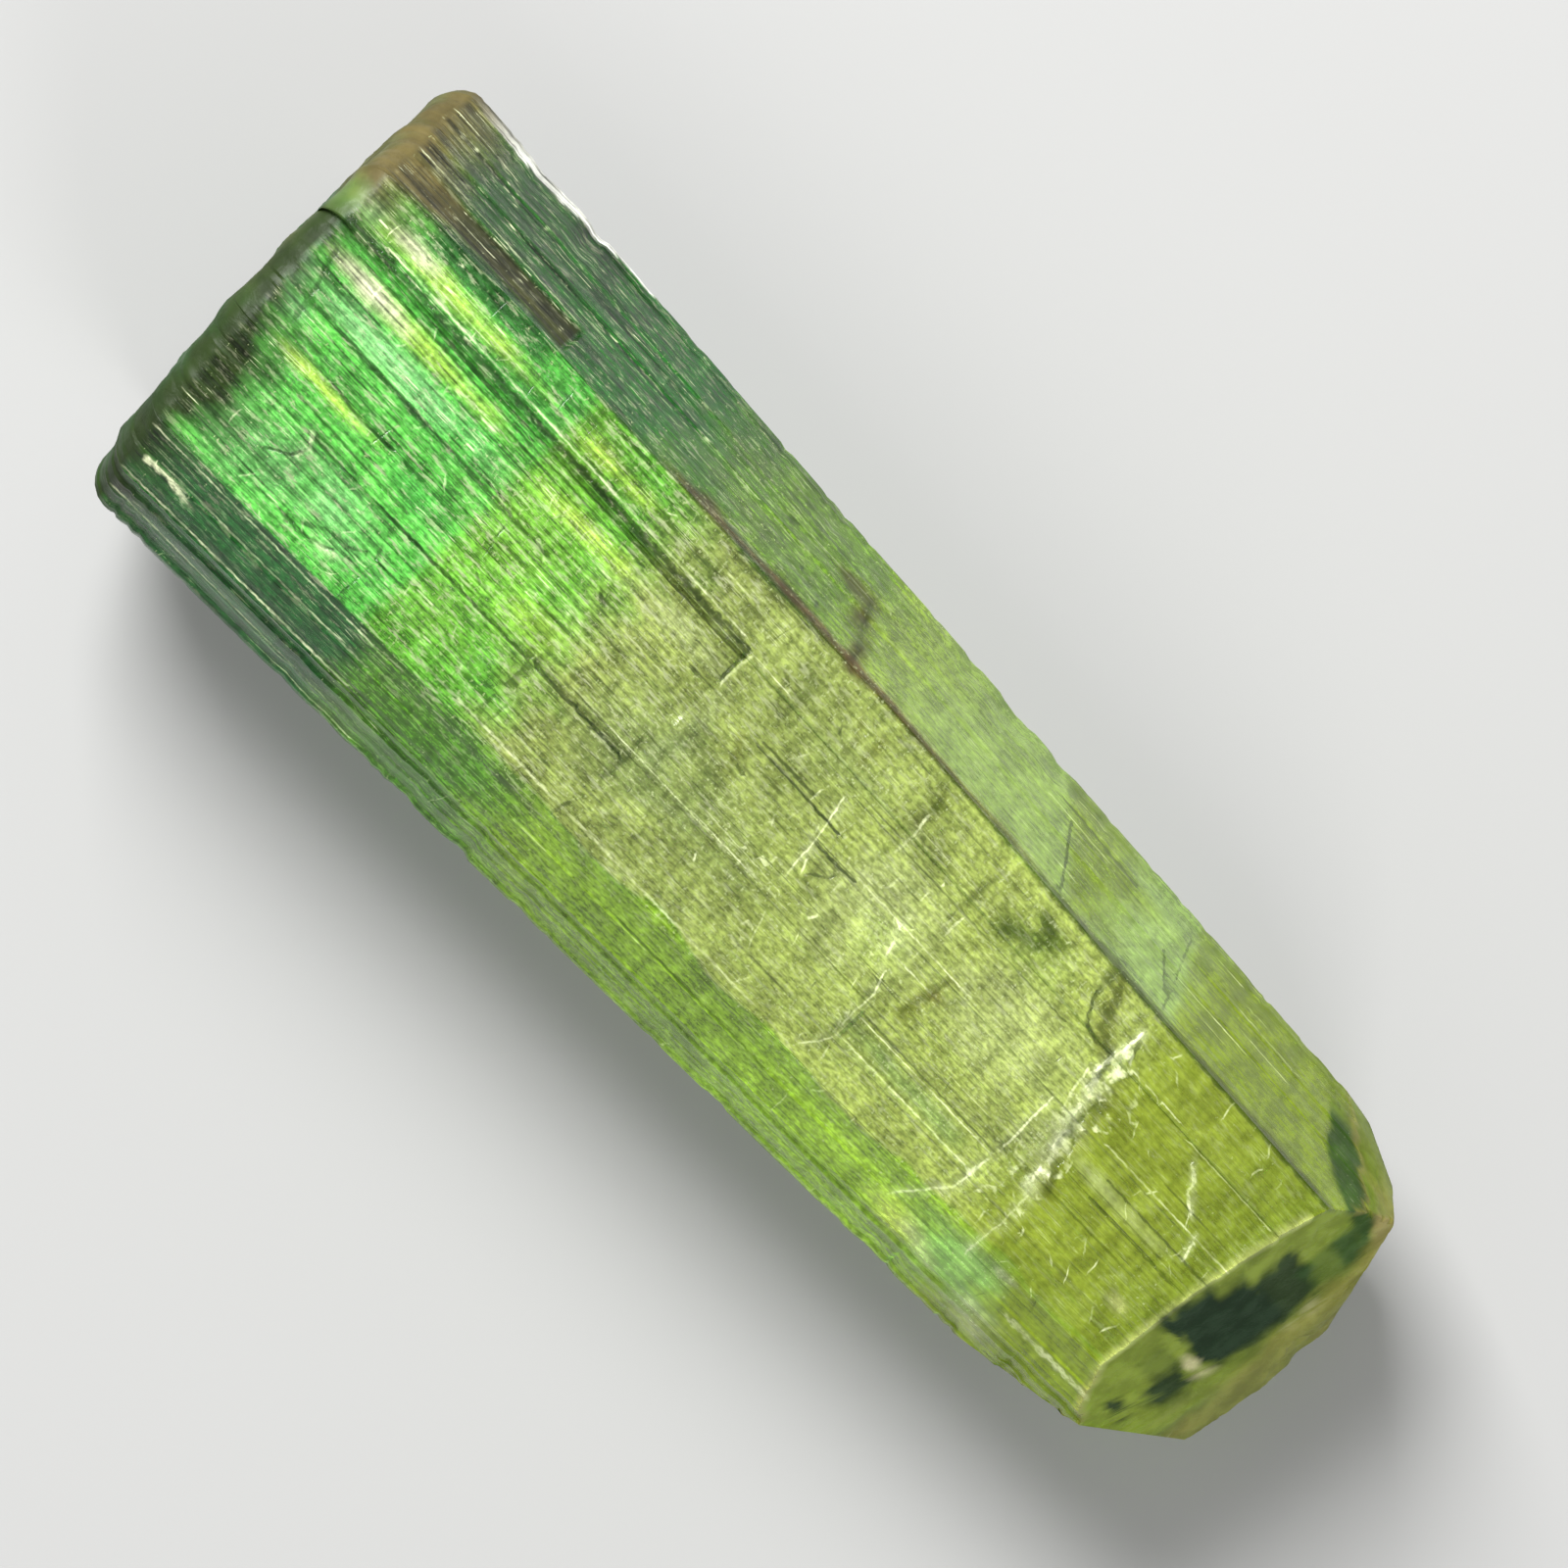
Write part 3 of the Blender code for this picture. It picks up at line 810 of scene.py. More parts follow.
# %% Base colours: a brown film, and painted shade along the base's edge
on_base = ends * (x < 0)
in_shade = 0.5 * between(y, -3.6, -1.0, 0.6)
base_edge_shade_and_film = 1 - step_up(from_base + 0.40 * ripple + 0.30 * mottle - in_shade, -0.2, 1.5)
base_edge_shade_and_film = np.maximum(base_edge_shade_and_film, on_base)
upper_part = step_up(y + 0.3 * ripple, 1.8, 2.8)
# Painted shade: below the film, the base's edge is dark olive.
paint((36, 52, 16), base_edge_shade_and_film * (1 - upper_part), 0.8)
paint((88, 76, 42), base_edge_shade_and_film * upper_part, 0.9)
base_film = (1 - step_up(from_base + 0.3 * ripple, 0.5, 1.6)) * upper_part
paint((96, 88, 48), 0.6 * base_film, 0.6)
inside_base = on_base * (1 - step_up(per_vertex(base_share[:, None]) + 0.08 * mottle, 0.80, 0.98))
paint((40, 84, 34), 0.85 * inside_base, 0.1)
film_patches = step_up(0.5 * ripple + 0.3 * mottle + (y + 0.4 * z - 2.6) / 5, 0.0, 0.55)
paint((88, 78, 42), 0.7 * inside_base * film_patches, 0.6)

# %% Tip colours: painted shade in the sloping faces, a painted highlight along the edge, and a tan end
TIP_SHADE_PATCHES = (
    # centre x, centre y, half length, half width, strength
    (14.14, 0.92, 0.64, 0.62, 0.95),
    (13.98, -0.1, 0.84, 0.66, 1.0),
    (13.76, -0.78, 1.0, 0.68, 1.0),
    (13.16, -1.34, 0.34, 0.09, 0.95),
    (14.2, -2.26, 0.55, 0.5, 0.95),
    (13.5, -2.06, 0.4, 0.42, 0.45),
    (13.62, -3.28, 0.32, 0.15, 0.95),
    (14.5, 1.9, 0.46, 0.8, 0.62),
    (13.1, 0.9, 0.25, 0.4, 0.3),
    (14.46, 2.5, 0.4, 0.4, 0.85),
)
tip_fall = 16.92 + 0.150 * y - 0.50 * z
on_top_face = step_up(x - tip_fall, -0.09, -0.03) * step_up(height, 0.45, 0.5)
paint((122, 140, 8), 0.9 * on_top_face, 0.5)
# A painted highlight: a pale line along the edge between the top and the tip.
pale_edge_highlight = (1 - step_up(to_tip + 0.04 * mottle, 0.06, 0.16)) * (1 - ends) * (height > 0.8) * (y < 2.3)
paint((206, 216, 120), 0.8 * pale_edge_highlight)
# Painted shade: forest-green blocks where the sloping faces throw the light away.
for centre_x, centre_y, half_length, half_width, strength in TIP_SHADE_PATCHES:
    reach = np.maximum(np.abs(x - centre_x) / half_length, np.abs(y - centre_y) / half_width)
    shade_block = 1 - step_up(reach + 0.25 * mottle + 0.15 * ripple, 0.75, 1.10)
    paint(FOREST if centre_y < 1.5 else BOTTLE, strength * shade_block * top_side, 1.0)
BEVEL_FROM, BEVEL_TO = (11.97, 4.44), (14.57, 2.80)
bevel_run, bevel_fall = BEVEL_TO[0] - BEVEL_FROM[0], BEVEL_TO[1] - BEVEL_FROM[1]
bevel_length = math.hypot(bevel_run, bevel_fall)
along_bevel = ((x - BEVEL_FROM[0]) * bevel_run + (y - BEVEL_FROM[1]) * bevel_fall) / bevel_length
off_bevel = ((y - BEVEL_FROM[1]) * bevel_run - (x - BEVEL_FROM[0]) * bevel_fall) / bevel_length
band_width = 0.44 * np.sin(np.pi * np.clip(along_bevel / bevel_length, 0, 1)) + 0.04
beyond_bevel = step_up(off_bevel, 0.0, 0.2) * (along_bevel > 0)
paint((152, 138, 74), 0.95 * beyond_bevel * top_side * (y > 1.5), 0.5)
# A painted shade band in dark green along the bevel.
bevel_shade_band = 1 - step_up(np.abs(off_bevel + 0.12 * mottle) - band_width, -0.04, 0.10)
bevel_shade_band = bevel_shade_band * (along_bevel > 0)
paint(BOTTLE, 0.95 * bevel_shade_band * (along_bevel < bevel_length) * top_side, 1.0)
tip_edge = 1 - step_up(to_tip + 0.10 * mottle, 0.0, 0.16)
on_tip = ends * (x > 0) * (1 - on_top_face)
paint((112, 130, 20), 0.7 * on_tip, 0.2)
tan_end = step_up(x + 0.16 * mottle, 14.66, 14.92) * (0.45 + 0.55 * step_up(z, 1.0, 5.0))
paint(TAN, 0.85 * tan_end, 0.5)
paint(TAN, 0.6 * on_tip * step_up(ripple + 0.5 * mottle, 0.0, 0.6), 0.4)
paint(TAN, 0.6 * tip_edge * (1 - ends) * (1 - top_side * (np.abs(y) < 3)), 0.5)
paint((184, 172, 116), 0.75 * patch(14.85, -2.60, 0.50, 1.00), 0.6)
for lump_x, lump_y in ((13.95, -1.58), (14.36, -1.54), (14.92, 0.96), (14.98, 0.40), (15.06, -0.30)):
    paint((206, 200, 150), 0.85 * patch(lump_x, lump_y, 0.24, 0.16), 0.6)

# %% [markdown]
# ## Thin lines
#
# Fractures inside the stone flash white, and cracks and land edges look almost black: the white is
# painted highlight and the black painted shade. These lines are thinner than the grid's cells, so
# the mesh doesn't store the lines themselves. It stores how far each vertex lies from the nearest
# line, in line widths, with a sign for the side. That changes evenly from vertex to vertex, so the
# shader can find the place where it is zero exactly.

# %% Lines on the top: fractures with a painted white flash
BRIGHT_LINES = (
    # half width, strength, then x and y of each point
    (0.028, 0.9, 2.17, 2.2, 2.24, 1.7, 2.25, 1.2),
    (0.019, 0.8, 0.73, 1.2, 0.93, 0.4, 1.0, -0.2, 1.1, -0.9),
    (0.019, 0.7, 1.22, -1.3, 1.57, -2.2),
    (0.019, 0.8, 3.38, 1.46, 3.3, 1.06, 3.37, 0.6),
    (0.019, 0.8, 3.5, 1.4, 3.54, 0.9, 3.42, 0.5),
    (0.025, 0.9, 3.4, 0.3, 3.62, -0.35),
    (0.025, 0.8, 4.15, 1.25, 4.13, 0.8),
    (0.019, 0.8, 3.83, -0.6, 4.03, -1.1, 4.0, -1.7, 4.07, -2.3, 3.95, -2.55, 3.75, -2.8),
    (0.033, 1.0, 8.35, 2.3, 8.33, 1.9, 8.25, 1.2, 8.53, 0.34, 8.77, -0.6, 8.97, -1.5),
    (0.025, 0.9, 8.55, 1.5, 8.62, 0.9, 8.45, 0.4),
    (0.025, 0.9, 8.9, 0.1, 8.62, -0.3, 9.15, -1.1),
    (0.025, 0.8, 8.03, 0.1, 8.06, -1.4, 7.95, -2.6, 7.17, -3.6),
    (0.022, 0.8, 9.11, -1.6, 9.16, -2.4, 9.1, -3.3),
    (0.03, 0.8, 8.1, 1.0, 8.22, 0.4, 8.4, 0.0),
    (0.026, 0.8, 8.72, 0.1, 8.92, -0.3, 8.86, -0.9),
    (0.024, 0.7, 9.0, -0.2, 9.25, -0.7),
    (0.028, 0.8, 8.5, 1.9, 8.72, 1.5, 8.66, 1.2),
    (0.05, 0.6, 10.6, -3.62, 13.0, -3.56),
    (0.017, 0.6, 9.4, 0.24, 13.1, 0.24),
    (0.033, 0.8, 10.97, 1.2, 11.25, 1.0, 11.3, 0.75, 11.67, 0.5),
    (0.028, 0.7, 12.07, 0.2, 12.21, -0.2),
    (0.028, 0.7, -2.62, 1.8, -2.66, 1.0),
    (0.017, 0.7, 2.1, 0.3, 5.4, 0.28),
    (0.014, 0.6, -1.2, -1.0, 1.2, -1.04),
    (0.014, 0.6, -1.2, -1.22, 1.6, -1.2),
    (0.017, 0.7, 4.1, -2.16, 8.1, -2.12),
    (0.014, 0.6, 4.2, -1.6, 8.0, -1.58),
    (0.017, 0.8, -14.63, -3.74, -7.83, -3.58),
    (0.017, 0.7, -13.6, -4.16, -7.8, -4.0),
    (0.019, 0.9, -14.63, -4.8, -7.83, -4.54),
    (0.015, 0.6, -14.7, -5.24, -7.83, -5.06),
    (0.066, 0.8, -13.9, -4.32, -13.3, -4.26, -12.75, -4.34),
    (0.015, 0.6, -14.8, 4.0, -9.9, 3.9),
    (0.05, 0.8, -10.3, -3.0, -9.95, -2.96),
    (0.039, 0.8, -11.95, -1.5, -11.75, -1.8, -11.85, -2.05),
    (0.025, 0.6, -7.2, -3.1, 2.5, -3.0),
    (0.02, 0.7, -13.6, 2.13, -3.0, 2.0),
)

# %% Lines on the top: painted shade in cracks and along land edges
DARK_LINES = (
    # The first row is the painted shadow along the ledge's wall.
    (0.07, 1.0, -14.9, 2.1, -14.4, 1.96, -2.73, 1.84),
    (0.024, 0.8, -14.3, 1.76, -2.8, 1.62),
    (0.055, 0.6, -9.7, 3.21, -3.8, 3.16, 0.0, 3.15, 4.2, 3.0, 8.5, 2.8, 13.6, 2.63),
    (0.042, 1.0, -2.73, 1.84, -2.73, 1.05),
    (0.03, 0.8, -13.9, 1.58, -5.4, 1.46),
    (0.025, 0.7, -14.4, 0.96, -12.6, 0.94),
    (0.035, 0.9, -14.5, 0.26, -12.5, 0.28, -6.8, 0.22),
    (0.03, 0.8, -14.4, -1.16, -9.4, -1.26),
    (0.036, 1.0, -11.6, -1.58, -9.0, -1.56, -3.0, -1.48),
    (0.021, 0.6, -14.2, -2.78, -11.6, -2.72),
    (0.027, 0.7, -14.2, -0.5, -12.5, -0.52, -11.6, -0.66, -10.6, -0.6),
    (0.035, 0.9, -12.4, -2.44, -11.93, -2.14, -11.73, -1.8, -11.83, -1.5),
    (0.035, 0.9, -9.43, -1.76, -9.33, -2.1, -9.43, -2.4, -9.83, -2.6, -10.03, -2.9,
     -10.83, -3.16, -11.13, -3.0),
    (0.024, 0.8, -9.19, -2.5, -9.23, -3.4),
    (0.024, 0.7, -10.1, -2.2, -10.16, -2.7),
    (0.077, 1.0, -5.62, 0.44, -5.48, 0.36),
    (0.062, 1.0, -9.3, -2.2, -9.22, -2.26),
    (0.055, 1.0, -9.42, -1.8, -9.36, -1.86),
    (0.055, 1.0, -3.3, 0.78, -3.1, 0.76),
    (0.046, 1.0, -4.4, -1.46, -4.26, -1.48),
    (0.046, 1.0, -4.1, 4.32, -3.94, 4.34),
    (0.042, 1.0, -3.3, 3.8, -3.18, 3.78),
    (0.046, 1.0, -2.52, 3.5, -2.4, 3.46),
    (0.046, 1.0, -1.16, 0.08, -1.02, 0.05),
    (0.046, 1.0, -12.3, 3.66, -12.1, 3.7),
    (0.046, 0.9, -7.6, -1.1, -7.48, -1.16),
    (0.04, 0.9, -0.3, 2.06, -0.2, 1.98),
    (0.031, 0.8, -5.57, -1.2, -5.6, -2.2),
    (0.031, 0.7, -5.59, -2.5, -5.68, -3.2),
    (0.031, 0.7, -5.27, -2.5, -5.36, -3.2),
    (0.039, 0.7, -2.93, -1.0, -2.98, -2.1),
    (0.039, 0.8, -3.03, -2.9, -3.09, -3.3),
    (0.028, 0.9, -1.2, 0.78, 0.3, 0.8),
    (0.032, 1.0, -1.3, 0.66, 1.2, 0.62),
    (0.034, 1.0, 0.9, 0.17, 2.1, 0.17),
    (0.02, 0.5, -0.8, 0.36, 3.6, 0.38),
    (0.021, 0.6, 0.9, 1.36, 7.1, 1.34),
    (0.031, 0.8, 1.37, -0.36, 1.67, -0.16, 1.87, 0.2),
    (0.024, 0.7, 1.22, 2.84, 1.45, 2.76, 1.68, 2.84),
    (0.031, 0.8, 4.27, 4.24, 4.77, 3.6, 5.17, 3.0),
    (0.027, 0.6, 7.67, 4.5, 8.27, 3.0),
    (0.027, 0.8, 7.47, 3.8, 8.07, 3.2),
    (0.046, 0.9, 7.07, 2.8, 7.12, 2.1, 7.4, 1.65, 7.77, 1.5, 8.17, 1.6),
    (0.07, 1.0, 7.42, 2.46, 7.56, 2.3),
    (0.024, 0.6, 10.0, -0.24, 13.0, -0.24),
    (0.024, 0.6, 10.0, -0.75, 12.5, -0.75),
    (0.021, 0.7, 4.2, -1.52, 8.0, -1.5),
    (0.027, 0.7, 3.97, -1.1, 4.03, -1.7),
    (0.024, 0.7, -0.6, -3.8, 3.6, -3.72),
    (0.024, 0.7, -4.9, 4.7, -1.6, 4.55),
    (0.024, 0.7, 3.8, 4.46, 6.2, 4.3),
    (0.031, 0.8, 6.9, 3.0, 7.1, 3.05, 7.3, 2.8),
    (0.035, 0.8, 5.36, 2.5, 5.44, 2.2, 5.3, 2.0),
    (0.035, 0.8, 5.6, 2.4, 5.66, 2.12),
    (0.06, 0.7, -14.3, 1.36, -14.12, 0.8, -14.0, 0.4, -13.86, -0.22),
    (0.045, 0.6, -13.8, 0.2, -13.4, 0.34, -12.9, 0.4),
    (0.045, 0.6, -13.7, -0.4, -13.3, -0.3, -12.6, -0.52),
    (0.04, 0.7, -11.66, -1.58, -10.6, -1.62, -9.4, -1.56),
    (0.05, 0.8, -11.2, -3.12, -10.9, -3.02, -10.3, -2.66, -9.8, -2.6),
    # Soft olive cracks and hollows, in painted shade.
    (0.11, 0.6, 7.3, 2.72, 7.48, 2.3, 7.66, 1.88, 8.0, 1.55, 8.15, 1.62),
    (0.09, 0.45, 6.72, 3.0, 6.92, 2.75, 7.1, 2.36),
    (0.12, 0.55, 5.25, 2.52, 5.85, 2.36, 5.6, 2.05, 5.05, 1.84, 4.8, 1.74),
    (0.08, 0.55, 5.6, 2.05, 5.38, 1.6, 5.34, 1.26),
    (0.09, 0.5, 4.86, 0.2, 4.8, -0.12, 4.74, -0.5, 4.66, -0.95),
    (0.08, 0.5, 2.12, 2.66, 2.2, 2.34, 2.04, 2.0),
    (0.07, 0.4, 2.08, 1.1, 2.02, 0.7),
    (0.06, 0.4, 4.06, 2.5, 3.98, 1.8, 3.96, 1.4),
    (0.08, 0.9, 8.66, 0.14, 8.72, -0.14, 8.82, -0.44),
    (0.11, 0.5, 8.98, -0.7, 9.16, -1.0, 9.36, -1.3),
    (0.08, 0.4, 8.86, 0.7, 8.96, 0.4),
    (0.05, 0.7, 8.2, 1.6, 8.36, 1.2, 8.3, 0.8),
    (0.045, 0.7, 8.62, 0.9, 8.8, 0.4, 8.7, 0.1),
    (0.045, 0.7, 8.95, -0.1, 9.1, -0.6, 9.05, -1.0),
    (0.04, 0.7, 8.45, 2.1, 8.6, 1.7),
    (0.07, 0.4, 8.0, -1.1, 7.98, -1.7, 7.86, -2.5, 7.5, -3.1),
    (0.07, 0.6, -2.94, -1.2, -2.9, -1.62, -2.96, -2.1),
    (0.10, 0.4, -3.26, 2.46, -3.22, 2.0),
    (0.07, 0.4, -1.5, 2.46, -1.34, 2.1, -1.3, 1.5),
    (0.06, 0.35, -1.12, 2.46, -1.28, 2.06),
    (0.06, 0.45, -5.46, -1.1, -5.5, -1.6, -5.44, -2.14),
    (0.11, 0.4, -4.44, -1.7, -4.38, -2.2),
    (0.08, 0.4, -3.74, -1.6, -3.7, -2.1),
    (0.08, 0.4, -4.1, -0.4, -4.04, -0.9),
    (0.07, 0.45, 3.8, -0.9, 4.02, -1.5, 3.98, -2.2),
    (0.07, 0.5, -1.75, 4.3, -1.5, 3.9, -1.26, 3.5, -1.06, 3.14),
)


# %% Random short ones: painted glints and dark hairlines
def scattered_lines(count, x_range, across_range, angles, lengths, widths, seed):
    """Short straight lines at random places: each has a random middle, an angle measured from
    the crystal's axis in degrees, a length and a half width in millimetres."""
    dice = np.random.default_rng(seed)
    found = []
    for _ in range(count):
        middle = np.array([dice.uniform(*x_range), dice.uniform(*across_range)])
        angle = math.radians(dice.uniform(*angles))
        reach = dice.uniform(*lengths) / 2 * np.array([math.cos(angle), math.sin(angle)])
        places = (*(middle - reach), *(middle + reach))
        found.append((dice.uniform(*widths), dice.uniform(0.3, 0.8), *places))
    return found


ALL_ROUND = (0.0, girth)
TOP_ROUND = (5.3, 12.0)
ACROSS = (60, 120)
ALONG = (-0.8, 0.8)
glints = scattered_lines(70, (-0.6, 4.2), (7.0, 11.6), ACROSS, (0.08, 0.40), (0.012, 0.026), 61)
glints += scattered_lines(60, (-13.8, -5.6), TOP_ROUND, (-60, 100), (0.06, 0.26), (0.012, 0.028), 62)
glints += scattered_lines(70, (8.1, 9.4), (6.4, 11.2), (35, 150), (0.06, 0.36), (0.016, 0.040), 76)
glints += scattered_lines(40, (7.8, 12.8), TOP_ROUND, (30, 120), (0.08, 0.35), (0.012, 0.026), 63)
glints += scattered_lines(40, (-13.8, 12.8), (12.0, girth), ACROSS, (0.08, 0.9), (0.012, 0.026), 71)
glints += scattered_lines(70, (-14.4, 12.8), ALL_ROUND, ALONG, (0.5, 3.2), (0.010, 0.018), 64)
hairlines = scattered_lines(130, (-14.4, 12.8), ALL_ROUND, ALONG, (0.6, 4.5), (0.010, 0.022), 65)
hairlines += scattered_lines(60, (-13.0, 8.0), TOP_ROUND, (75, 105), (0.10, 0.60), (0.012, 0.024), 66)
hairlines += scattered_lines(40, (-13.0, 12.0), (12.0, girth), (70, 110), (0.15, 1.2), (0.014, 0.026), 74)
print("scattered lines:", len(glints) + len(hairlines))


# %% Distance to the nearest line
REACH = 0.30
NO_LINE = 40.0
OFF_TOP = 99.0


def nearest_line(across, lines):
    """For each vertex, its signed distance from the nearest line in half widths, and the line's
    strength there. A point's distance from a segment is to the nearest point on it, the sign is
    that of the cross product with the segment's direction, and a line fades just past its ends."""
    signed = np.full(len(x), NO_LINE)
    gap_mm = np.full(len(x), REACH)
    strength = np.zeros(len(x))
    which = np.zeros(len(x), int)
    bent_x = x + 0.025 * mottle
    bent_across = across + 0.006 * ripple
    for number, (half_width, line_strength, *places) in enumerate(lines, 1):
        for x0, y0, x1, y1 in segments(places):
            close = (bent_x > min(x0, x1) - REACH) & (bent_x < max(x0, x1) + REACH)
            close &= (bent_across > min(y0, y1) - REACH) & (bent_across < max(y0, y1) + REACH)
            close = np.flatnonzero(close)
            run, rise = x1 - x0, y1 - y0
            length = math.hypot(run, rise)
            from_x, from_y = bent_x[close] - x0, bent_across[close] - y0
            along = (from_x * run + from_y * rise) / length
            inside = np.clip(along, 0, length)
            gap = np.hypot(from_x - inside * run / length, from_y - inside * rise / length)
            past_end = np.abs(along - inside)
            closer = gap < gap_mm[close]
            chosen = close[closer]
            sign = np.where(run * from_y - rise * from_x < 0, -1.0, 1.0)
            signed[chosen] = (sign * gap)[closer] / half_width
            gap_mm[chosen] = gap[closer]
            strength[chosen] = line_strength * (1 - step_up(past_end, 0.01, 0.10))[closer]
            which[chosen] = number
    strength *= 1 - step_up(gap_mm, 0.7 * REACH, REACH)
    strength[between_lines(which) & (np.abs(signed) > 1.6)] = 0.0
    return signed, strength


def between_lines(which):
    """True for a vertex whose neighbours on the grid are nearer to another line than it is. The
    sign can flip there with no line to cross, so no line may be drawn."""
    rings_of = which[1:-1].reshape(len(grid) - 2, -1)
    differs = np.zeros(rings_of.shape, bool)
    for ring_step in (-1, 0, 1):
        for column_step in (-1, 0, 1):
            neighbour = np.roll(rings_of, (ring_step, column_step), axis=(0, 1))
            differs |= neighbour != rings_of
    return np.concatenate([[False], differs.ravel(), [False]])


only_top = np.where(top_side > 0.5, y, OFF_TOP)
fields = {
    "bright": nearest_line(only_top, BRIGHT_LINES),
    "dark": nearest_line(only_top, DARK_LINES),
    "glint": nearest_line(around_mm, glints),
    "hair": nearest_line(around_mm, hairlines),
}
comes_and_goes = 0.35 + 0.65 * step_up(rough_noise(x / 0.6 + 30, round_crystal, 60, 45), 0.36, 0.62)
not_end = 1 - ends
for name, (_, strength) in fields.items():
    print("vertices near a", name, "line:", int((strength > 0).sum()))

# %% [markdown]
# ## What the mesh hands to the material
#
# The tint, the cloudiness and the four line fields are stored on the vertices. So is how each
# place looks close up: how busy and how murky it is with light and dark flecks, how strongly it
# is lined and etched, and how much it shimmers. It is full of flecks at the base and nearly clean
# at the tip. The map's two directions are stored as a UV map in millimetres.

# %% Attributes for the material
def keep(name, values):
    """Stores one value, or one colour, for each vertex of the crystal."""
    kind = "FLOAT_COLOR" if values.ndim == 2 else "FLOAT"
    layer = crystal.data.attributes.new(name, kind, "POINT")
    if kind == "FLOAT_COLOR":
        layer.data.foreach_set("color", np.hstack([values, np.ones((len(values), 1))]).ravel())
    else:
        layer.data.foreach_set("value", values.astype(np.float32))


on_sides = 1 - step_up(height, 0.90, 0.97)
busy = 0.9 - 0.45 * step_up(x, -5.0, 0.0) - 0.25 * step_up(x, 8.0, 9.5)
busy = busy * (1 - (0.65 - 0.35 * on_right_face) * on_sides) * (1 - cloud)
lined = 1.0 - 0.62 * step_up(x, -6.5, -2.0) - 0.14 * step_up(x, 8.0, 9.5)
lined = np.maximum(lined, 0.75 * on_sides * (1 - step_up(x, -8.0, 0.0)))
lined = np.maximum(lined, 1.35 * on_right_face * (1 - step_up(x, -9.0, -3.0)))
# The veil marks where fractures flash: it places the painted sparkles, and adds roughness and relief.
veil = 0.30 + 0.22 * between(front_x, LEAF_FRONT_X, -4.0, 0.3) + 0.20 * between(x, -4.0, 8.0, 1.0)
veil = np.maximum(veil - 0.28 * step_up(x, 8.4, 9.2), shimmer) - 0.25 * on_sides
veil = np.clip(veil + 0.15 * ripple, 0, 1) * (1 - base_edge_shade_and_film)
keep("veil", veil * not_end)
keep("lined", lined * not_end)
keep("tint", np.clip(tint, 0.002, 0.96))
keep("cloud", cloud)
keep("texture", (1 - 0.75 * cloud) * (1.0 - 0.60 * calm) * not_end)
keep("murk", busy * (1 - 0.70 * step_up(x, -6.0, -3.0)) * (1 - 0.6 * calm) * not_end)
keep("busy", busy * not_end)
keep("ends", ends)
keep("clear", 0.55 + 0.22 * (1 - step_up(height, 0.30, 0.60)) - 0.10 * ends)
for name, (distance, strength) in fields.items():
    keep(name + "_line", distance)
    steady = {"dark": 0.90, "bright": 0.45, "glint": 0.50, "hair": 0.0}[name]
    keep(name + "_strength", strength * not_end * np.maximum(steady, comes_and_goes))


# %% Map along and round the crystal
def keep_map(name):
    """A UV map of x and the distance round, in millimetres. The quads that close the outline
    run on past the girth, so that the map doesn't fold back on itself there."""
    layer = crystal.data.uv_layers.new(name=name)
    corner_vertex = np.empty(len(crystal.data.loops), int)
    crystal.data.loops.foreach_get("vertex_index", corner_vertex)
    u, v = x[corner_vertex], around_mm[corner_vertex].copy()
    first_corner = np.empty(len(crystal.data.polygons), int)
    corner_count = np.empty(len(crystal.data.polygons), int)
    crystal.data.polygons.foreach_get("loop_start", first_corner)
    crystal.data.polygons.foreach_get("loop_total", corner_count)
    face_of = np.repeat(np.arange(len(first_corner)), corner_count)
    highest = np.maximum.reduceat(v, first_corner)[face_of]
    v[(highest > 0.9 * girth) & (v < 0.1 * girth)] += girth
    layer.data.foreach_set("uv", np.stack([u, v], axis=1).ravel())


keep_map("wrap")

# %% [markdown]
# ## The stone
#
# One Principled shader with transmission makes the stone: it reflects like glass, lets light
# through with tourmaline's refractive index of 1.63, and scatters some of it in its own colour,
# as a stone full of small flaws does. A plain absorption volume makes the thick places deeper.
# Noise that is stretched along the crystal makes the growth lines and the flecks between them.

# %% Node helpers
TOURMALINE_IOR = 1.63
ABSORB_COLOUR = (0.50, 0.86, 0.20, 1)
ABSORB_PER_METRE = 220.0
BUMP_DEPTH = 0.03 * MM
MURK = np.array((0.05, 0.11, 0.04))
material = bpy.data.materials.new("green tourmaline")
material.use_nodes = True
tree = material.node_tree
shader = tree.nodes["Principled BSDF"]


def node(kind, **settings):
    """Adds one shader node with the given settings."""
    made = tree.nodes.new(kind)
    for name, value in settings.items():
        setattr(made, name, value)
    return made


def attribute(name, output="Fac"):
    """The output socket of a mesh attribute."""
    return node("ShaderNodeAttribute", attribute_name=name).outputs[output]


def maths(operation, first, second, clamp=False):
    """A Math node on two values, each a socket or a number."""
    made = node("ShaderNodeMath", operation=operation, use_clamp=clamp)
    for socket, value in zip(made.inputs, (first, second)):
        if isinstance(value, (int, float)):
            socket.default_value = value
        else:
            tree.links.new(value, socket)
    return made.outputs[0]


def times(first, second):
    """The first value times the second."""
    return maths("MULTIPLY", first, second)


def plus(first, second, clamp=False):
    """The sum of two values, kept within 0 to 1 if asked."""
    return maths("ADD", first, second, clamp)


def minus(first, second, clamp=False):
    """The first value less the second, kept within 0 to 1 if asked."""
    return maths("SUBTRACT", first, second, clamp)


def ramp(value, low, high, out_low=0.0, out_high=1.0):
    """A clamped, smooth change from out_low to out_high while the value goes from low to high."""
    made = node("ShaderNodeMapRange", interpolation_type="SMOOTHSTEP")
    tree.links.new(value, made.inputs["Value"])
    limits = {"From Min": low, "From Max": high, "To Min": out_low, "To Max": out_high}
    for name, number in limits.items():
        made.inputs[name].default_value = number
    return made.outputs["Result"]


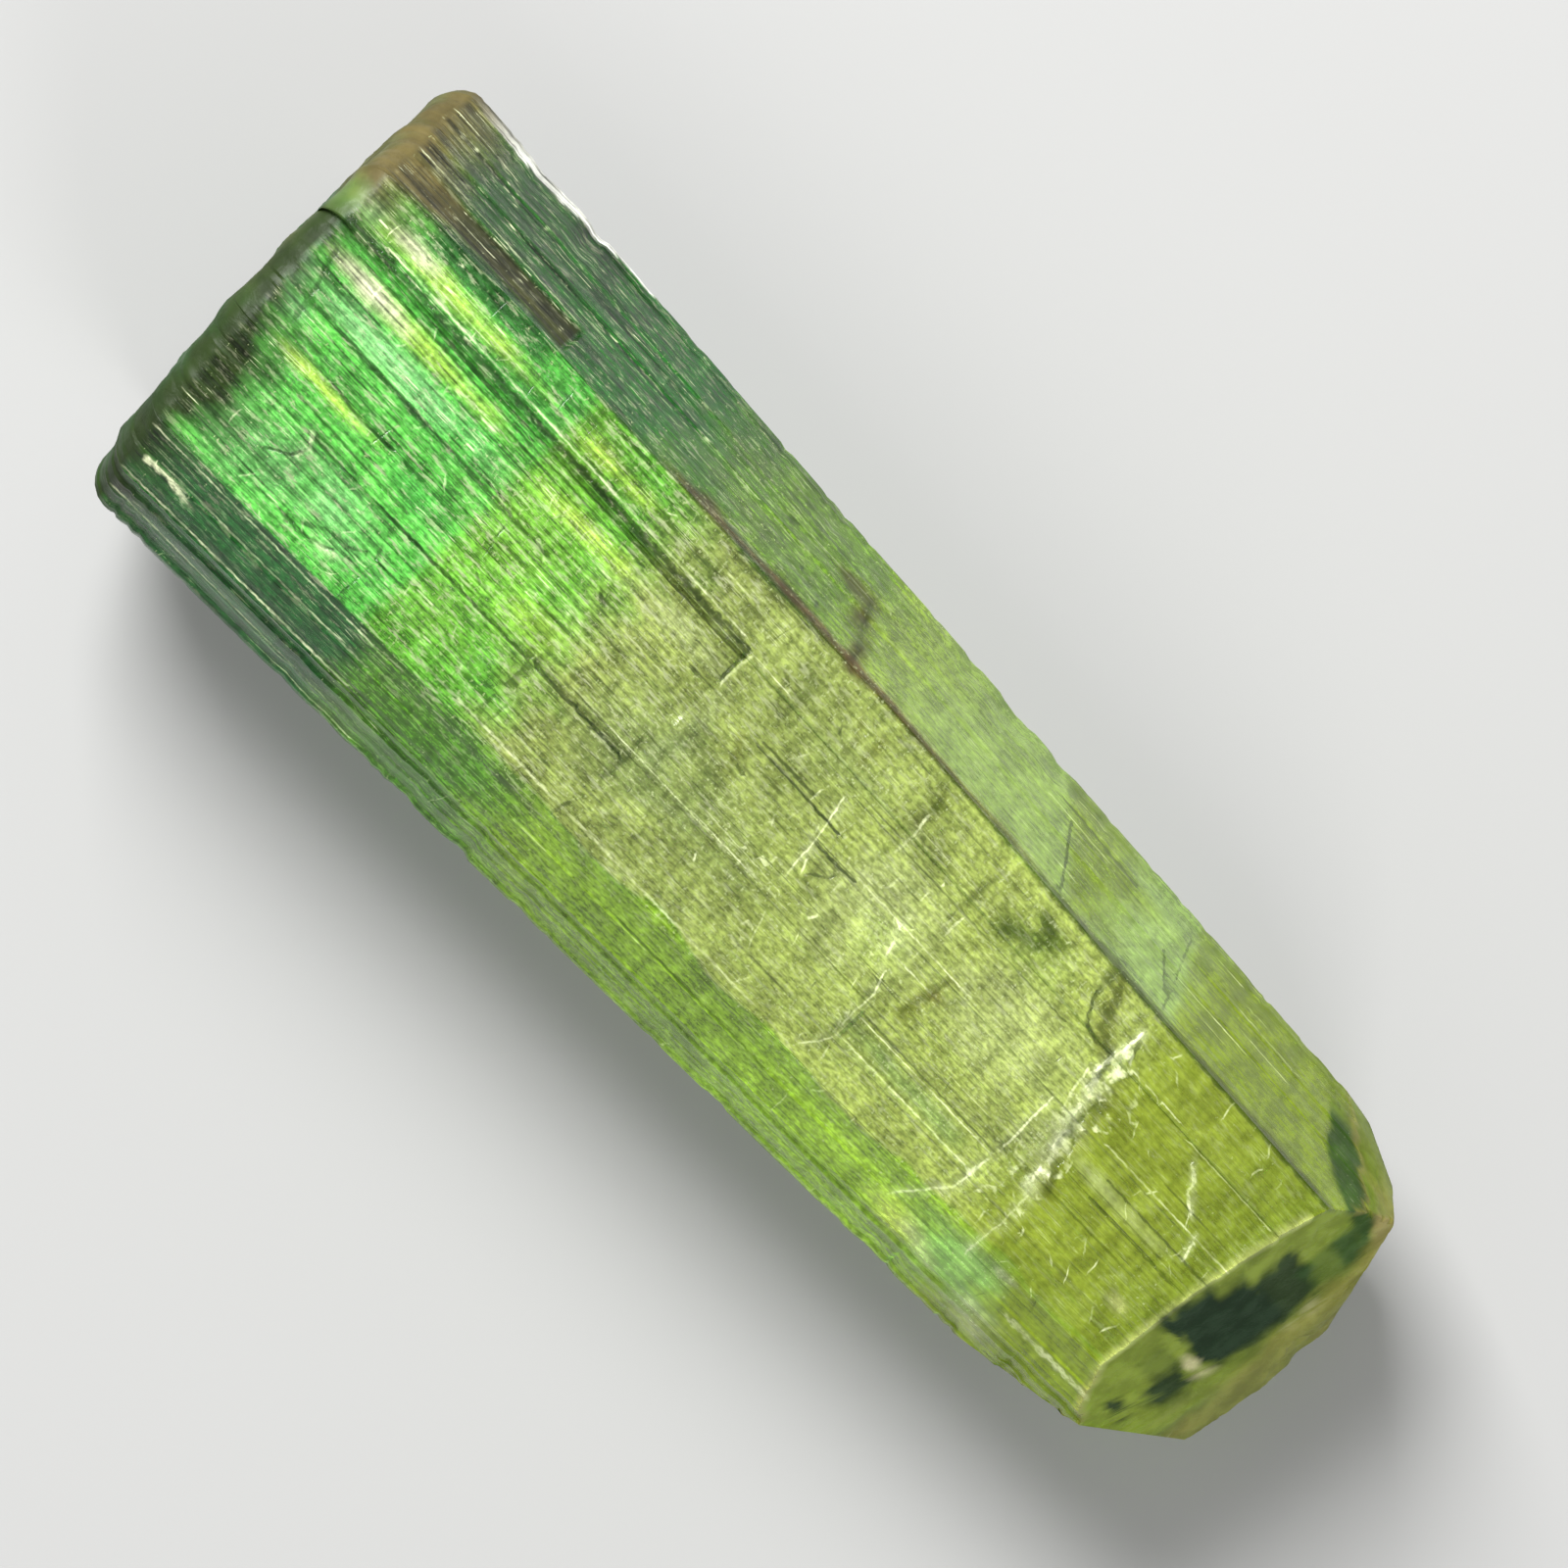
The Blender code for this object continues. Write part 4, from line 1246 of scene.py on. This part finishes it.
def blend(factor, first, second):
    """A colour mix by a factor, with each colour a socket or three linear values."""
    made = node("ShaderNodeMix", data_type="RGBA", blend_type="MIX")
    for socket, value in ((made.inputs[0], factor), (made.inputs[6], first), (made.inputs[7], second)):
        if isinstance(value, float):
            socket.default_value = value
        elif isinstance(value, np.ndarray):
            socket.default_value = (*value, 1.0)
        else:
            tree.links.new(value, socket)
    return made.outputs[2]


def scaled(colour, factor):
    """A colour times a value."""
    made = node("ShaderNodeVectorMath", operation="SCALE")
    tree.links.new(colour, made.inputs[0])
    tree.links.new(factor, made.inputs["Scale"])
    return made.outputs["Vector"]


# %% Two kinds of noise
def noise_at(where, dimensions, scale, detail, roughness):
    """The value of a Noise node at the coordinates that a socket gives."""
    noise = node("ShaderNodeTexNoise", noise_dimensions=dimensions)
    noise.inputs["Scale"].default_value = scale
    noise.inputs["Detail"].default_value = detail
    noise.inputs["Roughness"].default_value = roughness
    tree.links.new(where, noise.inputs["Vector"])
    return noise.outputs["Fac"]


def lines_noise(along, across, detail, roughness, offset=0.0):
    """Noise on the wrap map, with this many cells for each millimetre along and across."""
    stretch = node("ShaderNodeMapping")
    stretch.inputs["Location"].default_value = (offset, offset * 0.7, 0)
    stretch.inputs["Scale"].default_value = (along, across, 1)
    tree.links.new(node("ShaderNodeUVMap", uv_map="wrap").outputs["UV"], stretch.inputs["Vector"])
    return noise_at(stretch.outputs["Vector"], "2D", 1.0, detail, roughness)


growth = lines_noise(0.16, 7.0, 3, 0.6)
fine_growth = lines_noise(0.30, 24.0, 1, 0.5, 5.0)
curtains = lines_noise(1.8, 0.70, 2, 0.65, 9.0)
etching = lines_noise(6.0, 10.0, 2, 0.6, 13.0)
flecks = lines_noise(1.6, 8.0, 3, 0.75, 3.0)
shatter = lines_noise(11.0, 6.0, 2, 0.7, 23.0)
streaks = lines_noise(0.10, 5.0, 1, 0.5, 17.0)
lumpy = noise_at(node("ShaderNodeTexCoord").outputs["Object"], "3D", 1.3 / MM, 5, 0.6)

# %% Base colour: the tint, shaded by the growth lines and the etched texture
at_ends, at_cloud = attribute("ends"), attribute("cloud")
at_lined, at_veil = attribute("lined"), attribute("veil")
at_tint = attribute("tint", "Color")
off_ends = minus(1.0, at_ends)
broad_lines = ramp(growth, 0.28, 0.72, -0.42, 0.32)
thin_lines = ramp(fine_growth, 0.30, 0.70, -0.22, 0.20)
shade = plus(times(plus(broad_lines, thin_lines), at_lined), ramp(curtains, 0.30, 0.70, 0.72, 1.12))
texture = times(attribute("texture"), ramp(etching, 0.3, 0.7, -0.27, 0.35))
shade = times(shade, plus(1.0, texture))
crust = ramp(lumpy, 0.30, 0.70, 0.72, 1.16)
colour = blend(at_ends, scaled(at_tint, shade), scaled(at_tint, crust))

# %% Flecks: painted light glints where it is busy, dark ones where it is murky, painted sparkles in the veils
bright_flecks = times(ramp(flecks, 0.53, 0.68), times(attribute("busy"), 0.70))
colour = blend(bright_flecks, colour, blend(0.74, colour, linear(CREAM)))
dark_flecks = times(ramp(flecks, 0.48, 0.32), times(attribute("murk"), 0.75))
colour = blend(dark_flecks, colour, blend(0.80, colour, MURK))
sparkles = ramp(plus(shatter, times(at_veil, 0.22)), 0.70, 0.84)
sparkles = times(sparkles, ramp(fine_growth, 0.42, 0.58, 0.25, 0.85))
colour = blend(times(sparkles, off_ends), colour, blend(0.62, colour, linear(SPARKLE)))

# %% The thin lines: painted white flashes and glints, and painted shade
wobble = ramp(lines_noise(4.0, 5.0, 1, 0.6, 11.0), 0.25, 0.75, -0.5, 0.5)
broken = ramp(etching, 0.35, 0.55, 0.55, 1.0)


def line_mask(name):
    """1 on a line and 0 away from it: the stored distance, bent a little by the wobble, goes
    through a soft ramp round one half width. The line's strength and a fine noise scale it."""
    away = maths("ABSOLUTE", plus(attribute(name + "_line"), wobble), 0.0)
    drawn = times(ramp(away, 0.50, 1.60, 1.0, 0.0), attribute(name + "_strength"))
    return times(drawn, broken)


def contour(noise, level):
    """Thin lines where a noise passes one level. With noise that is stretched along the crystal
    they run along it too, and they come and go with the curtains."""
    away = maths("ABSOLUTE", minus(noise, level), 0.0)
    thin = times(ramp(away, 0.002, 0.012, 0.7, 0.0), at_lined)
    return times(thin, ramp(curtains, 0.50, 0.66))


# white holds the painted flashes and glints, black the painted shade of cracks and land edges.
white = maths("MAXIMUM", line_mask("bright"), contour(streaks, 0.45))
white = maths("MAXIMUM", white, line_mask("glint"))
black = maths("MAXIMUM", line_mask("dark"), contour(growth, 0.50))
black = maths("MAXIMUM", black, line_mask("hair"))
colour = blend(times(white, 0.85), colour, linear(CREAM))
colour = blend(times(black, 0.90), colour, linear(LINE_SHADE))
tree.links.new(colour, shader.inputs["Base Color"])

# %% How clear and how smooth the stone is
clear = minus(attribute("clear"), times(at_cloud, 0.45))
clear = minus(clear, times(white, 0.40), clamp=True)
tree.links.new(clear, shader.inputs["Transmission Weight"])
face_roughness = ramp(etching, 0.3, 0.7, 0.10, 0.24)
end_roughness = ramp(crust, 0.72, 1.16, 0.42, 0.22)
rough = plus(face_roughness, times(minus(end_roughness, face_roughness), at_ends))
rough = plus(rough, times(ramp(at_veil, 0.6, 1.0), 0.22))
rough = plus(rough, times(at_cloud, 0.30), clamp=True)
tree.links.new(rough, shader.inputs["Roughness"])

# %% Finer relief than the mesh has: growth lines on the faces, and a crust on the ends
relief = plus(times(growth, 1.0), times(fine_growth, 0.5))
relief = minus(relief, times(black, 0.8))
relief = plus(relief, times(times(shatter, ramp(at_veil, 0.55, 1.0)), 2.0))
relief = times(relief, off_ends)
relief = plus(relief, times(ramp(crust, 0.72, 1.16, 0.15, 1.35), at_ends))
bump = node("ShaderNodeBump")
bump.inputs["Strength"].default_value = 0.5
bump.inputs["Distance"].default_value = BUMP_DEPTH
tree.links.new(relief, bump.inputs["Height"])
tree.links.new(bump.outputs["Normal"], shader.inputs["Normal"])

# %% Glass values
shader.inputs["IOR"].default_value = TOURMALINE_IOR
shader.inputs["Specular IOR Level"].default_value = 0.12
absorb = node("ShaderNodeVolumeAbsorption")
absorb.inputs["Color"].default_value = ABSORB_COLOUR
absorb.inputs["Density"].default_value = ABSORB_PER_METRE
tree.links.new(absorb.outputs["Volume"], tree.nodes["Material Output"].inputs["Volume"])
print("shader nodes:", len(tree.nodes))

# %% Hand the crystal over
crystal.data.materials.append(material)
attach(crystal, "root")
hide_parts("crystal")

# %% [markdown]
# ## Floor, light and camera
#
# The crystal lies on a plain pale floor inside a bright tent. The tent is darker overhead, where
# the camera looks in, because the crystal's flat top would mirror a bright ceiling and the
# mirrored white would hide the green. The camera looks straight down.

# %% Floor
floor_mesh = bpy.data.meshes.new("floor")
FLOOR_HALF = 0.6
FLOOR_GAP = 0.00005
floor_corners = [(FLOOR_HALF * a, FLOOR_HALF * b, 0) for a, b in ((-1, -1), (1, -1), (1, 1), (-1, 1))]
floor_mesh.from_pydata(floor_corners, [], [(0, 1, 2, 3)])
floor = bpy.data.objects.new("floor", floor_mesh)
bpy.context.scene.collection.objects.link(floor)
floor.location.z = -FLOOR_GAP
floor_material = bpy.data.materials.new("pale floor")
floor_material.use_nodes = True
floor_shader = floor_material.node_tree.nodes["Principled BSDF"]
floor_shader.inputs["Base Color"].default_value = (0.36, 0.36, 0.355, 1)
floor_shader.inputs["Roughness"].default_value = 0.9
floor_mesh.materials.append(floor_material)

# %% Lights
world = bpy.data.worlds.new("studio")
world.use_nodes = True
sky = world.node_tree.nodes["Background"]
sky.inputs["Color"].default_value = (1.0, 1.0, 1.0, 1)
direction = world.node_tree.nodes.new("ShaderNodeTexCoord")
split = world.node_tree.nodes.new("ShaderNodeSeparateXYZ")
tent = world.node_tree.nodes.new("ShaderNodeMapRange")
tent.interpolation_type = "SMOOTHSTEP"
for name, number in (("From Min", 0.60), ("From Max", 0.95), ("To Min", 0.72), ("To Max", 0.10)):
    tent.inputs[name].default_value = number
world.node_tree.links.new(direction.outputs["Generated"], split.inputs["Vector"])
world.node_tree.links.new(split.outputs["Z"], tent.inputs["Value"])
world.node_tree.links.new(tent.outputs["Result"], sky.inputs["Strength"])
bpy.context.scene.world = world
bpy.context.scene.view_settings.view_transform = "Standard"


def soft_light(name, place, size, power):
    """A square area light at a place in metres, turned to face the crystal."""
    light = bpy.data.lights.new(name, "AREA")
    light.size = size
    light.energy = power
    made = bpy.data.objects.new(name, light)
    made.location = place
    toward = -made.location.normalized()
    made.rotation_euler = toward.to_track_quat("-Z", "Y").to_euler()
    bpy.context.scene.collection.objects.link(made)
    return made


soft_light("key light", (-0.15, 0.08, 0.20), 0.12, 1.35)
soft_light("fill light", (0.18, -0.10, 0.14), 0.10, 0.30)

# %% Camera
PICTURE_PIXELS = 1600
MM_PER_PIXEL = 0.02
LOOK_AT = (-0.296, 0.511, 4.45)
CAMERA_HEIGHT = 320.0
AXIS_ANGLE = 46.625
SENSOR = 36.0

camera_data = bpy.data.cameras.new("camera")
camera_data.sensor_width = SENSOR
camera_data.lens = SENSOR * CAMERA_HEIGHT / (PICTURE_PIXELS * MM_PER_PIXEL)
camera = bpy.data.objects.new("camera", camera_data)
camera.location = (LOOK_AT[0] * MM, LOOK_AT[1] * MM, (LOOK_AT[2] + CAMERA_HEIGHT) * MM)
camera.rotation_euler = (0, 0, math.radians(AXIS_ANGLE))
bpy.context.scene.collection.objects.link(camera)
bpy.context.scene.camera = camera
print("lens in mm:", round(camera_data.lens, 1))
